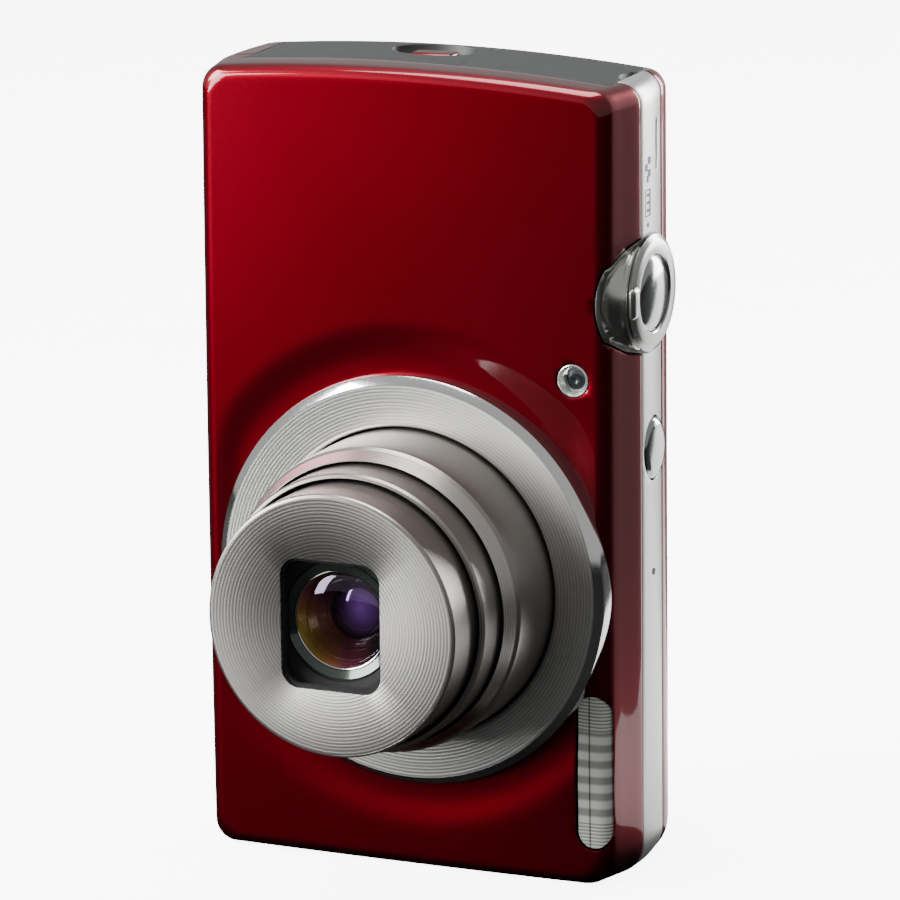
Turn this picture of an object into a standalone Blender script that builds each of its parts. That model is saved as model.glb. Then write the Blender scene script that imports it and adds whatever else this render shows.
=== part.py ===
"""Compact digital camera with an extending zoom lens, standing on its end.

+Z runs along the camera's long side, -Y is the way the lens looks, +X is the camera's top
(shutter and power buttons) and -X its base (battery door and tripod socket). The origin is
the middle of the end it stands on. Sizes are in metres.
"""

import math

import bmesh
import bpy
from mathutils import Matrix, Vector

MM = 0.001

# Body
WIDTH = 54.3 * MM                  # base to top, along X
DEPTH = 22.1 * MM                  # front face to back face, along Y
LENGTH = 95.2 * MM                 # along Z
HALF = WIDTH / 2
FRONT = -DEPTH / 2
BACK = DEPTH / 2
WALL = 1.0 * MM
GAP = 0.3 * MM                     # between neighbouring pieces
TOP_CORNER = 4.0 * MM              # corner radii seen from the front
BASE_CORNER = 2.5 * MM
END_CROWN = 1.5 * MM               # bulge of the terminal end
FACET_RUN = 1.6 * MM               # how far the side facet leans in before it meets the front
FRONT_CREASE = 1.5 * MM            # rounding between front face and side facet
BAND_FRONT = -3.6 * MM             # seams of the middle band
BAND_REAR = 4.5 * MM
BASE_BAND_REAR = 7.5 * MM
BACK_ROUND = 5.0 * MM              # how far the back's round edge comes in
END_PANEL_LOW = -HALF + 5.15 * MM  # terminal end panel, along X and Y
END_PANEL_HIGH = HALF - 2.95 * MM
END_PANEL_FRONT = -5.8 * MM
END_PANEL_REAR = 8.0 * MM

# Lens
LENS_X = 1.25 * MM
LENS_Z = 35.4 * MM
RING_RADIUS = 24.6 * MM
RING_PROUD = 1.5 * MM
OUTER_RADIUS = 18.3 * MM
OUTER_WALL = 1.1 * MM
MIDDLE_WALL = 0.44 * MM
BARREL_FLANGE = 0.33 * MM          # rear guide flange, proud of its barrel
MIDDLE_RADIUS = OUTER_RADIUS - OUTER_WALL - GAP - BARREL_FLANGE
INNER_RADIUS = MIDDLE_RADIUS - MIDDLE_WALL - GAP - BARREL_FLANGE
OUTER_FRONT = -23.5 * MM
MIDDLE_FRONT = -28.0 * MM
INNER_FRONT = -33.8 * MM
OUTER_LENGTH = 16.0 * MM
MIDDLE_LENGTH = 12.0 * MM
INNER_LENGTH = 11.0 * MM
INNER_TRAVEL = 5.6 * MM            # retraction of the inner barrel into the middle one
BARREL_LIP = 1.2 * MM              # depth of each front lip that holds the next barrel captive
BARREL_WALL = 0.9 * MM
HOUSING_WALL = 2.2 * MM
HOUSING_FLOOR = 3.2 * MM           # front of the housing's floor, along Y
HOUSING_BASE = 1.0 * MM            # floor's thickness
WINDOW_X = 12.5 * MM               # opening in the lens face
WINDOW_Z = 15.3 * MM
WINDOW_CORNER = 2.2 * MM
FACE_PLATE = 0.95 * MM
BLADE = 0.4 * MM
FRONT_GLASS = 5.5 * MM

# Controls
DIAL_Y = -1.15 * MM
DIAL_Z = 69.8 * MM
DIAL_RADIUS = 6.9 * MM
DIAL_HIGH = 0.9 * MM
SHUTTER_RADIUS = 4.4 * MM
HUB_RADIUS = 2.2 * MM
STEM_RADIUS = 0.9 * MM
TAB_HALF = 1.75 * MM
BEZEL_RADIUS = 6.7 * MM
BEZEL_Y = -2.9 * MM
POWER_Y = 0.45 * MM
POWER_Z = 51.0 * MM
POWER_RADIUS = 3.3 * MM
PUSH_TRAVEL = 0.3 * MM
PAD_X = -1.0 * MM
PAD_Z = 79.5 * MM
PAD_RADIUS = 9.0 * MM
SET_RADIUS = 3.5 * MM
KEY_PROUD = 0.25 * MM

# Battery, card and door
BATTERY = Vector((40.2, 5.2, 34.4)) * MM
BATTERY_END = -HALF + 1.95 * MM    # the end that faces the door
BATTERY_Z = LENS_Z + OUTER_RADIUS + GAP + HOUSING_WALL + GAP   # clear of the lens housing
BATTERY_Y = -2.2 * MM
HOLDER_WALL = 0.6 * MM
HOLDER_SET_BACK = 1.0 * MM
CARD = Vector((32.0, 2.1, 24.0)) * MM
DOOR_LOW = BATTERY_Z - 2 * GAP
DOOR_HIGH = BATTERY_Z + BATTERY.z + GAP
KNUCKLE = 0.85 * MM
KNUCKLE_SUNK = 0.07 * MM           # keeps each hinge knuckle just under the outer form
PIN_RADIUS = 0.3 * MM
LATCH_LONG = 3.6 * MM
LATCH_WIDE = 2.0 * MM
LATCH_TRAVEL = 2.0 * MM
FLAP_LOW = 5.3 * MM
DOOR_AXIS = Vector((-HALF + KNUCKLE + KNUCKLE_SUNK, BAND_FRONT + GAP + KNUCKLE, 0))
FLAP_AXIS = Vector((FLAP_LOW + GAP / 2 + KNUCKLE, 0, LENGTH - KNUCKLE - 3 * KNUCKLE_SUNK))

# Flash, lamp, tripod and strap
FLASH_X = HALF - 3.45 * MM
FLASH_Z = 14.1 * MM
FLASH_WIDTH = 3.9 * MM
FLASH_LENGTH = 18.4 * MM
CAPACITOR_RADIUS = 3.75 * MM
LAMP_X = HALF - 5.55 * MM
LAMP_Z = 60.9 * MM
LAMP_RADIUS = 1.9 * MM
TRIPOD_Z = 38.0 * MM
TRIPOD_Y = 0.5 * MM
TRIPOD_RADIUS = 4.0 * MM
TRIPOD_THREAD = 3.175 * MM         # quarter-inch camera thread
TRIPOD_DEPTH = 5.5 * MM
SCREW_Z = 9 * MM
STRAP_X = -0.6 * MM
STRAP_Y = 3.15 * MM
STRAP_LONG = 5.4 * MM
STRAP_WIDE = 3.7 * MM

# Display and boards, by depth
SENSOR_PLATE = 0.4 * MM
BOARD = 0.8 * MM
BOARD_FRONT = HOUSING_FLOOR + HOUSING_BASE + GAP + SENSOR_PLATE + GAP
BOARD_LOW = 3.5 * MM
CHASSIS = 0.5 * MM
CHASSIS_FRONT = BOARD_FRONT + BOARD + GAP
LCD_FRONT = CHASSIS_FRONT + CHASSIS + GAP
LCD_BACK = BACK - WALL - GAP
LCD_HALF = 22.0 * MM
LCD_LOW = 5.2 * MM
LCD_HIGH = 62.0 * MM
GLASS_HALF = LCD_HALF - 1.0 * MM
GLASS_LOW = LCD_LOW + 0.8 * MM
GLASS_HIGH = LCD_HIGH - 0.5 * MM
SWITCH_BOARD_FRONT = 7.2 * MM

FAR = 150 * MM                     # beyond any part, for cutters
ROUND = 40                         # segments of a large turned part
SMALL_ROUND = 16
BORE_ROUND = 12

FINISHES = {
    "red_paint": ((0.42, 0.004, 0.02), 0.25, 0.6),
    "silver": ((0.62, 0.62, 0.60), 0.35, 0.9),
    "grey": ((0.10, 0.11, 0.11), 0.5, 0.0),
    "brushed": ((0.60, 0.58, 0.56), 0.3, 1.0),
    "barrel": ((0.36, 0.33, 0.31), 0.35, 0.9),
    "black": ((0.012, 0.012, 0.013), 0.5, 0.0),
    "glass": ((0.08, 0.05, 0.12), 0.05, 0.0),
    "clear": ((0.8, 0.82, 0.84), 0.1, 0.0),
    "steel": ((0.5, 0.5, 0.5), 0.3, 1.0),
    "brass": ((0.6, 0.45, 0.18), 0.3, 1.0),
    "board": ((0.02, 0.12, 0.05), 0.5, 0.0),
    "screen": ((0.01, 0.01, 0.012), 0.08, 0.0),
}


def collection(name):
    """A new collection in the scene."""
    group = bpy.data.collections.new(name)
    bpy.context.scene.collection.children.link(group)
    return group


def finish(name):
    """The shared finish of that name as a material."""
    colour, roughness, metallic = FINISHES[name]
    paint = bpy.data.materials.new(name)
    paint.use_nodes = True
    shader = paint.node_tree.nodes["Principled BSDF"]
    shader.inputs["Base Color"].default_value = (*colour, 1)
    shader.inputs["Roughness"].default_value = roughness
    shader.inputs["Metallic"].default_value = metallic
    return paint


def add_object(name, data, look, origin):
    """Links an object: a part with its material, or a cutter where look is None."""
    obj = bpy.data.objects.new(name, data)
    obj.location = origin
    if look is None:
        CUTTERS.objects.link(obj)
        obj.hide_render = True
        obj.display_type = "WIRE"
    else:
        PARTS.objects.link(obj)
        data.materials.append(finish(look))
    return obj


def from_bmesh(name, bm, look, origin=(0, 0, 0)):
    """An object at origin from a bmesh in world coordinates."""
    bmesh.ops.translate(bm, verts=bm.verts, vec=-Vector(origin))
    bmesh.ops.recalc_face_normals(bm, faces=bm.faces)
    mesh = bpy.data.meshes.new(name)
    bm.to_mesh(mesh)
    bm.free()
    return add_object(name, mesh, look, origin)


def box(name, low, high, look=None, corner=0, along=None, origin=(0, 0, 0)):
    """A box between two corners; corner rounds the edges that run along an axis (0, 1 or 2)."""
    low, high = Vector(low), Vector(high)
    bm = bmesh.new()
    bmesh.ops.create_cube(bm, size=1)
    bmesh.ops.scale(bm, verts=bm.verts, vec=high - low)
    bmesh.ops.translate(bm, verts=bm.verts, vec=(low + high) / 2)
    if corner:
        edges = [e for e in bm.edges if abs((e.verts[0].co - e.verts[1].co).normalized()[along]) > 0.9]
        bmesh.ops.bevel(bm, geom=edges, offset=corner, segments=5, profile=0.5, affect="EDGES")
    return from_bmesh(name, bm, look, origin)


def turned(name, profile, axis, centre, look=None, segments=ROUND, origin=None):
    """A body of revolution about Y (axis 1), X (axis 0) or Z (axis 2).

    profile lists (radius, place along the axis); centre is the axis's place, its own entry unused.
    A profile that starts and ends on the axis is a solid, any other is closed into a ring.
    """
    solid = profile[0][0] == 0
    area = sum(a[0] * b[1] - b[0] * a[1] for a, b in zip(profile, profile[1:] + profile[:1]))
    points = profile if area < 0 else profile[::-1]
    mesh = bpy.data.meshes.new(name)
    edges = [(i, i + 1) for i in range(len(points) - 1)]
    if not solid:
        edges.append((len(points) - 1, 0))
    flip = -1 if axis == 1 else 1
    if flip < 0:
        points = points[::-1]
    mesh.from_pydata([(r, 0, flip * place) for r, place in points], edges, [])
    where = Vector(centre)
    where[axis] = 0
    obj = add_object(name, mesh, look, where)
    obj.rotation_euler = {0: (0, math.pi / 2, 0), 1: (math.pi / 2, 0, 0), 2: (0, 0, 0)}[axis]
    screw = obj.modifiers.new("turn", "SCREW")
    screw.axis = "Z"
    screw.angle = math.tau
    screw.steps = screw.render_steps = segments
    screw.use_merge_vertices = True
    screw.merge_threshold = 1e-6
    screw.use_smooth_shade = True
    return obj


def rod(name, radius, start, end, axis, centre, look=None, segments=SMALL_ROUND):
    """A plain cylinder between two places along an axis."""
    return turned(name, [(0, start), (radius, start), (radius, end), (0, end)], axis, centre, look, segments)


def combine(obj, other, operation):
    """A Boolean modifier on obj, with the exact solver."""
    step = obj.modifiers.new(operation.lower(), "BOOLEAN")
    step.operation = operation
    step.solver = "EXACT"
    step.object = other
    return obj


def cut(obj, *others):
    """Takes the cutters away from obj."""
    for other in others:
        combine(obj, other, "DIFFERENCE")
    return obj


def join(obj, *others):
    """Adds the helpers to obj as one body."""
    for other in others:
        combine(obj, other, "UNION")
    return obj


def arc(centre, radius, start, end, count):
    """Points on a circular or elliptic arc, angles in degrees; radius is one number or a pair."""
    wide, high = radius if isinstance(radius, tuple) else (radius, radius)
    angles = [math.radians(start + (end - start) * i / count) for i in range(count + 1)]
    return [(centre[0] + wide * math.cos(a), centre[1] + high * math.sin(a)) for a in angles]


def outline(inset):
    """The body's front-view outline in X and Z, drawn in by inset, from the base's lower corner."""
    side = HALF - inset
    low = inset
    high = LENGTH - END_CROWN - inset
    top = max(TOP_CORNER - inset, 0.6 * MM)
    base = max(BASE_CORNER - inset, 0.6 * MM)
    points = arc((-side + base, low + base), base, 180, 270, 5)
    points += arc((side - top, low + top), top, 270, 360, 6)
    points += arc((side - top, high - top), top, 0, 90, 6)
    crown = [side * share for share in (0.7, 0.5, 0.25, 0, -0.25, -0.5, -0.7)]
    points += [(x, high + END_CROWN * (1 - (x / side) ** 2)) for x in crown]
    points += arc((-side + base, high - base), base, 90, 180, 5)
    return points


def section(offset):
    """(y, inset) pairs from front face to back face, for the outer skin drawn in by offset."""
    lean = math.atan2(FACET_RUN, BAND_FRONT - FRONT)
    crease = FRONT_CREASE - min(offset, FRONT_CREASE / 2)
    reach = crease * math.tan((math.pi / 2 - lean) / 2)
    front = FRONT + offset
    start = offset + FACET_RUN * (BAND_FRONT - front) / (BAND_FRONT - FRONT) + reach
    turn = 90 - math.degrees(lean)
    pairs = [(front + crease - y, start - x) for x, y in arc((0, 0), crease, 90, 90 - turn, 5)]
    pairs += [(BAND_FRONT, offset)]
    deep = BACK - offset - BAND_REAR
    come_in = BACK_ROUND - offset / 2
    pairs += [(BAND_REAR + y, offset + come_in - x) for x, y in arc((0, 0), (come_in, deep), 0, 90, 7)]
    return pairs


def envelope(name, offset, look=None):
    """The whole body's outer form, drawn in by offset, as one closed loft of its outlines."""
    bm = bmesh.new()
    rings = [[bm.verts.new((x, y, z)) for x, z in outline(inset)] for y, inset in section(offset)]
    for near, far in zip(rings, rings[1:]):
        for i, vert in enumerate(near):
            bm.faces.new((near[i - 1], vert, far[i], far[i - 1]))
    bm.faces.new(rings[0])
    bm.faces.new(rings[-1])
    bmesh.ops.triangulate(bm, faces=bm.faces)
    return from_bmesh(name, bm, look)


def skin(name, look, region, sunk=0, thick=WALL):
    """The piece of the body's skin that lies inside region, sunk below the outer form."""
    piece = envelope(name, sunk, look)
    combine(piece, envelope(name + "_inside", sunk + thick), "DIFFERENCE")
    return combine(piece, region, "INTERSECT")


def pivot(name, place):
    """An empty on a joint's axis."""
    empty = bpy.data.objects.new(name, None)
    empty.location = place
    empty.empty_display_size = 4 * MM
    PARTS.objects.link(empty)
    return empty


def carry(holder, *pieces):
    """Parents pieces to a pivot without moving them."""
    for piece in pieces:
        piece.parent = holder
        piece.matrix_parent_inverse = Matrix.Translation(-holder.location)


def lens_turned(name, profile, look=None, segments=ROUND):
    """A part turned about the lens axis; profile lists (radius, y)."""
    return turned(name, profile, 1, (LENS_X, 0, LENS_Z), look, segments)


def covers():
    """The two red covers, cut back where the middle band and the end panel meet them."""
    front_region = box("front_region", (-FAR, -FAR, -FAR), (FAR, BAND_FRONT - GAP / 2, FAR))
    cut(front_region, box("front_region_end", (END_PANEL_LOW - GAP, END_PANEL_FRONT - GAP, LENGTH - 6 * MM),
                          (END_PANEL_HIGH + GAP, 0, FAR)))
    cut(front_region, rod("bezel_hole", BEZEL_RADIUS + GAP, HALF - 12 * MM, FAR, 0, (0, BEZEL_Y, DIAL_Z), None,
                          ROUND))
    front = skin("front_cover", "red_paint", front_region)
    opening = RING_RADIUS - 2 * MM + GAP
    cut(front, lens_turned("ring_hole", [(0, -FAR), (opening, -FAR), (opening, 0), (0, 0)]))
    cut(front, flash_outline("flash_hole", GAP), rod("lamp_hole", LAMP_RADIUS + GAP, -FAR, -3 * MM, 1,
                                                     (LAMP_X, 0, LAMP_Z)))

    rear_region = box("rear_region", (-FAR, BAND_REAR + GAP / 2, -FAR), (FAR, FAR, FAR))
    cut(rear_region,
        box("rear_region_base", (-FAR, 0, -FAR), (END_PANEL_LOW - GAP, BASE_BAND_REAR + GAP / 2, FAR)),
        box("rear_region_end", (END_PANEL_LOW - 2 * GAP, 0, LENGTH - 6 * MM),
            (END_PANEL_HIGH + GAP, END_PANEL_REAR + GAP / 2, FAR)))
    rear = skin("rear_cover", "red_paint", rear_region)
    cut(rear, box("glass_hole", (-GLASS_HALF - GAP, 0, GLASS_LOW - GAP), (GLASS_HALF + GAP, FAR, GLASS_HIGH + GAP),
                  None, 1 * MM, 1))
    for name, x, z, radius in rear_keys():
        cut(rear, rod(name + "_hole", radius + GAP, 0, FAR, 1, (x, 0, z)))
    cut(rear, rod("pad_hole", PAD_RADIUS + 2 * GAP, 0, FAR, 1, (PAD_X, 0, PAD_Z), None, ROUND))


def band():
    """Silver top panel that wraps the standing end, red base panel and grey terminal panel."""
    front, rear = BAND_FRONT + GAP / 2, BAND_REAR - GAP / 2
    top_region = box("top_region", (END_PANEL_HIGH + GAP, front, -FAR), (FAR, rear, LENGTH - 1.6 * MM))
    join(top_region, box("foot_region", (END_PANEL_LOW, front, -FAR), (FAR, rear, 3 * MM)))
    panel = skin("top_panel", "silver", top_region)
    cut(panel, rod("power_hole", POWER_RADIUS + GAP / 2, HALF - 5 * MM, FAR, 0, (0, POWER_Y, POWER_Z)),
        rod("hub_hole", HUB_RADIUS + GAP, HALF - 5 * MM, FAR, 0, (0, DIAL_Y, DIAL_Z)),
        box("speaker_slot", (HALF - 5 * MM, 1.7 * MM, 83.7 * MM), (FAR, 2.3 * MM, 89.35 * MM)))

    base_region = box("base_region", (-FAR, front, -FAR), (END_PANEL_LOW - GAP, BASE_BAND_REAR - GAP / 2, FAR))
    cut(base_region, box("door_gap", (-FAR, -FAR, DOOR_LOW), (-HALF + 3 * MM, FAR, DOOR_HIGH)))
    base = skin("base_panel", "red_paint", base_region)
    divider_y = BATTERY_Y + BATTERY.y + GAP
    divider_end = BATTERY_END + HOLDER_SET_BACK - GAP
    join(base, box("divider", (-HALF + WALL + GAP, divider_y, DOOR_LOW - 2 * MM),
                   (divider_end, divider_y + HOLDER_WALL, DOOR_HIGH + 0.5 * MM)))
    for low, high in ((DOOR_LOW - 2 * MM, DOOR_LOW), (DOOR_HIGH, DOOR_HIGH + 0.5 * MM)):
        join(base, box("divider_foot", (-HALF + WALL / 2, divider_y, low),
                       (divider_end, divider_y + HOLDER_WALL, high)))
    cut(base, rod("tripod_hole", TRIPOD_THREAD + GAP / 2, -FAR, -HALF + 4 * MM, 0, (0, TRIPOD_Y, TRIPOD_Z)),
        rod("pin_seat", PIN_RADIUS + GAP, DOOR_LOW - 3 * MM, DOOR_HIGH + 1.3 * MM, 2, DOOR_AXIS))
    cut(base, rod("screw_hole", 1.5 * MM, -FAR, -HALF + 4 * MM, 0, (0, TRIPOD_Y, SCREW_Z)))

    end_region = box("end_region", (END_PANEL_LOW, END_PANEL_FRONT, LENGTH - 5.5 * MM),
                     (FLAP_LOW - GAP / 2, END_PANEL_REAR - GAP / 2, FAR))
    end = skin("end_panel", "grey", end_region)
    half_long, half_wide = STRAP_LONG / 2 + 2.1 * MM, STRAP_WIDE / 2 + 1.6 * MM
    cut(end, box("strap_hole", (STRAP_X - half_long, STRAP_Y - half_wide, LENGTH - 8 * MM),
                 (STRAP_X + half_long, STRAP_Y + half_wide, FAR), None, 2 * MM, 2))


def strap_anchor():
    """Cup in the end panel with the bar that a wrist strap's cord passes under."""
    half_long, half_wide = STRAP_LONG / 2 + 1.8 * MM, STRAP_WIDE / 2 + 1.3 * MM
    floor, bar_top = LENGTH - 3.2 * MM, LENGTH - 0.7 * MM
    thin = 0.5 * MM
    cup = box("strap_bar", (STRAP_X - half_long, STRAP_Y - half_wide, floor),
              (STRAP_X + half_long, STRAP_Y + half_wide, LENGTH - thin), "red_paint", 2 * MM, 2)
    cut(cup, box("strap_hollow", (STRAP_X - half_long + thin, STRAP_Y - half_wide + thin, floor + thin),
                 (STRAP_X + half_long - thin, STRAP_Y + half_wide - thin, FAR), None, 1.5 * MM, 2))
    for side in (-1, 1):
        x = STRAP_X + side * (STRAP_LONG / 2 - 0.5 * MM)
        join(cup, box("strap_post", (x - 0.5 * MM, STRAP_Y - 1 * MM, floor + 0.2 * MM),
                      (x + 0.5 * MM, STRAP_Y + 1 * MM, bar_top - 0.3 * MM)))
    join(cup, box("strap_top", (STRAP_X - STRAP_LONG / 2, STRAP_Y - STRAP_WIDE / 2, bar_top - 1 * MM),
                  (STRAP_X + STRAP_LONG / 2, STRAP_Y + STRAP_WIDE / 2, bar_top), None, 0.9 * MM, 2))


def terminal_flap():
    """Flap over the cable socket, swinging on a pin at its inner edge."""
    x, z = FLAP_AXIS[0], FLAP_AXIS[2]
    region = box("flap_region", (x - KNUCKLE / 5, END_PANEL_FRONT, LENGTH - 5.5 * MM),
                 (END_PANEL_HIGH - GAP / 2, END_PANEL_REAR - GAP / 2, FAR))
    flap = skin("terminal_flap", "grey", region)
    join(flap, rod("flap_knuckle", KNUCKLE, END_PANEL_FRONT + GAP, END_PANEL_REAR - 2 * GAP, 1, FLAP_AXIS))
    cut(flap, rod("flap_bore", PIN_RADIUS + GAP / 2, -FAR, FAR, 1, FLAP_AXIS, None, BORE_ROUND))
    rod("flap_pin", PIN_RADIUS, END_PANEL_FRONT + 2 * GAP, END_PANEL_REAR - 3 * GAP, 1, FLAP_AXIS, "steel")
    carry(pivot("flap_pivot", FLAP_AXIS), flap)
    port_x = BATTERY_END + BATTERY.x + GAP + HOLDER_WALL + 0.9 * MM   # beside the battery's holder
    port_z = BATTERY_Z + BATTERY.z - 5.7 * MM
    port = box("usb_port", (port_x, -3.9 * MM, port_z), (port_x + 4 * MM, 3.9 * MM, z - 1.4 * MM), "steel", 1 * MM, 2)
    cut(port, box("usb_mouth", (port_x + 0.6 * MM, -3.3 * MM, z - 7.7 * MM), (port_x + 3.4 * MM, 3.3 * MM, FAR)))


def lens_barrels():
    """Housing, trim ring and the three barrels, each held captive by the lip of the one outside it."""
    bore = OUTER_RADIUS + GAP
    ring_front = FRONT - RING_PROUD
    seat = FRONT - GAP
    sleeve = RING_RADIUS - 2 * MM
    lens_turned("lens_ring", [
        (bore, ring_front + 0.4 * MM), (bore + 0.4 * MM, ring_front), (RING_RADIUS - 0.7 * MM, ring_front),
        (RING_RADIUS, ring_front + 0.7 * MM), (RING_RADIUS, seat), (sleeve, seat), (sleeve, FRONT + WALL + GAP),
        (sleeve - 1 * MM, FRONT + WALL + GAP), (sleeve - 1 * MM, seat), (bore, seat)], "brushed")
    housing_front = FRONT + WALL + 0.45 * MM
    tube_in, tube_out = bore, bore + HOUSING_WALL
    sensor_hole = 6.0 * MM
    lens_turned("lens_housing", [
        (tube_in, housing_front), (tube_out, housing_front), (tube_out, HOUSING_FLOOR + HOUSING_BASE),
        (sensor_hole, HOUSING_FLOOR + HOUSING_BASE), (sensor_hole, HOUSING_FLOOR), (tube_in, HOUSING_FLOOR)], "black")

    barrels = (
        ("outer_barrel", OUTER_RADIUS, OUTER_FRONT, OUTER_LENGTH, MIDDLE_RADIUS, 0),
        ("middle_barrel", MIDDLE_RADIUS, MIDDLE_FRONT, MIDDLE_LENGTH, INNER_RADIUS, BARREL_FLANGE),
        ("inner_barrel", INNER_RADIUS, INNER_FRONT, INNER_LENGTH, None, BARREL_FLANGE),
    )
    for name, radius, front, length, inside, flange in barrels:
        rear = front + length
        if inside is None:
            lip = inner = radius - BARREL_WALL
        else:
            lip = inside + GAP
            inner = inside + BARREL_FLANGE + GAP
        chamfer = 0.4 * MM if name != "outer_barrel" else 1.3 * MM
        profile = [(lip, front), (radius - chamfer, front), (radius, front + 1.6 * chamfer), (radius, rear - 2 * MM)]
        if flange:
            profile += [(radius + flange, rear - 2 * MM), (radius + flange, rear)]
        else:
            profile += [(radius, rear)]
        profile += [(inner, rear), (inner, front + BARREL_LIP), (lip, front + BARREL_LIP)]
        lens_turned(name, profile if inside else profile[:-2], "barrel" if inside else "brushed")


def lens_face():
    """Face plate with its window, the two barrier blades and the plate that carries them.

    Returns where the front lens cell begins.
    """
    plate_radius = INNER_RADIUS - BARREL_WALL - GAP
    plate = lens_turned("lens_face_plate", [
        (0, INNER_FRONT), (plate_radius, INNER_FRONT), (plate_radius, INNER_FRONT + FACE_PLATE),
        (0, INNER_FRONT + FACE_PLATE)], "brushed")
    half_x, half_z = WINDOW_X / 2, WINDOW_Z / 2
    cut(plate, box("face_window", (LENS_X - half_x, -FAR, LENS_Z - half_z), (LENS_X + half_x, 0, LENS_Z + half_z),
                   None, WINDOW_CORNER, 1))
    front = INNER_FRONT + FACE_PLATE + GAP
    half_z += 0.55 * MM
    for name, side in (("barrier_blade_base", -1), ("barrier_blade_top", 1)):
        near = LENS_X + side * (half_x + GAP)
        far = LENS_X + side * (plate_radius + 2 * MM)
        blade = box(name, (min(near, far), front, LENS_Z - half_z), (max(near, far), front + BLADE, LENS_Z + half_z),
                    "black", origin=(LENS_X, front, LENS_Z))
        combine(blade, lens_turned(name + "_limit", [(0, -FAR), (plate_radius, -FAR), (plate_radius, 0), (0, 0)]),
                "INTERSECT")
    seat = front + BLADE + GAP
    lens_turned("blade_carrier", [
        (6.9 * MM, seat), (plate_radius, seat), (plate_radius, seat + 0.75 * MM), (6.9 * MM, seat + 0.75 * MM)],
        "black")
    return seat + 0.75 * MM + GAP


def optics(cell_front):
    """Front group, shutter and second group, focus group and the sensor."""
    radius = INNER_RADIUS - BARREL_WALL - GAP
    cell_rear = cell_front + 4.8 * MM
    seat = FRONT_GLASS + GAP
    lens_turned("front_lens_cell", [
        (seat, cell_front), (radius, cell_front), (radius, cell_front + 0.8 * MM), (8.5 * MM, cell_front + 0.8 * MM),
        (8.5 * MM, cell_rear), (4.2 * MM, cell_rear), (4.2 * MM, cell_front + 2.9 * MM),
        (seat, cell_front + 2.9 * MM)], "black")
    dome = [(x, cell_front + 0.9 * MM - y) for x, y in arc((0, 0), (FRONT_GLASS, 0.8 * MM), 90, 0, 5)]
    dome[0] = (0, cell_front + 0.1 * MM)
    rear = cell_front + 2.6 * MM
    lens_turned("front_lens", dome + [(FRONT_GLASS, rear), (0, rear)], "glass", SMALL_ROUND)

    shutter_front = cell_rear + INNER_TRAVEL + 0.4 * MM
    shutter_rear = shutter_front + 2.8 * MM
    cell = INNER_RADIUS - BARREL_WALL - 0.8 * MM
    middle_bore = INNER_RADIUS + BARREL_FLANGE
    flange_rear = MIDDLE_FRONT + MIDDLE_LENGTH - 0.2 * MM
    lens_turned("shutter_cell", [
        (4.3 * MM, shutter_front), (cell, shutter_front), (cell, flange_rear - 0.6 * MM),
        (middle_bore, flange_rear - 0.6 * MM), (middle_bore, flange_rear), (cell - 0.7 * MM, flange_rear),
        (cell - 0.7 * MM, shutter_rear), (4.3 * MM, shutter_rear)], "black")
    lens_turned("second_lens", [
        (0, shutter_front + 0.2 * MM), (4.0 * MM, shutter_front + 0.8 * MM), (4.0 * MM, shutter_rear - 0.8 * MM),
        (0, shutter_rear - 0.2 * MM)], "glass", SMALL_ROUND)

    carrier_rear = HOUSING_FLOOR - 1 * MM
    carrier_front = carrier_rear - 2 * MM
    carrier_radius = cell - 1.3 * MM
    rod_x = LENS_X - carrier_radius + 2 * MM
    carrier = lens_turned("focus_carrier", [
        (4.6 * MM, carrier_front), (carrier_radius, carrier_front), (carrier_radius, carrier_rear),
        (4.6 * MM, carrier_rear)], "black")
    cut(carrier, rod("rod_hole", 0.8 * MM, -FAR, FAR, 1, (rod_x, 0, LENS_Z)))
    rod("focus_rod", 0.5 * MM, carrier_front - 1.8 * MM, HOUSING_FLOOR - GAP, 1, (rod_x, 0, LENS_Z), "steel")
    lens_turned("focus_lens", [
        (0, carrier_front + 0.1 * MM), (4.3 * MM, carrier_front + 0.5 * MM), (4.3 * MM, carrier_rear - 0.5 * MM),
        (0, carrier_rear - 0.1 * MM)], "glass", SMALL_ROUND)

    sensor_front = HOUSING_FLOOR - 0.6 * MM
    box("image_sensor", (LENS_X - 3.2 * MM, sensor_front, LENS_Z - 4.0 * MM),
        (LENS_X + 3.2 * MM, HOUSING_FLOOR + HOUSING_BASE, LENS_Z + 4.0 * MM), "screen")
    plate_front = HOUSING_FLOOR + HOUSING_BASE + GAP
    box("sensor_plate", (LENS_X - 9 * MM, plate_front, LENS_Z - 8 * MM),
        (LENS_X + 9 * MM, plate_front + SENSOR_PLATE, LENS_Z + 8 * MM), "steel", 1 * MM, 1)
    motor_radius = 3.5 * MM
    motor_away = OUTER_RADIUS + GAP + HOUSING_WALL + 0.5 * MM + motor_radius
    angle = math.radians(221)
    place = (LENS_X + motor_away * math.cos(angle), 0, LENS_Z + motor_away * math.sin(angle))
    rod("zoom_motor", motor_radius, -8 * MM, 3.5 * MM, 1, place, "steel")


def flash_outline(name, grow):
    """Cutter or region with the flash window's outline."""
    half_x, half_z = FLASH_WIDTH / 2 + grow, FLASH_LENGTH / 2 + grow
    return box(name, (FLASH_X - half_x, -FAR, FLASH_Z - half_z), (FLASH_X + half_x, -3 * MM, FLASH_Z + half_z),
               None, half_x * 0.98, 1)


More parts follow.
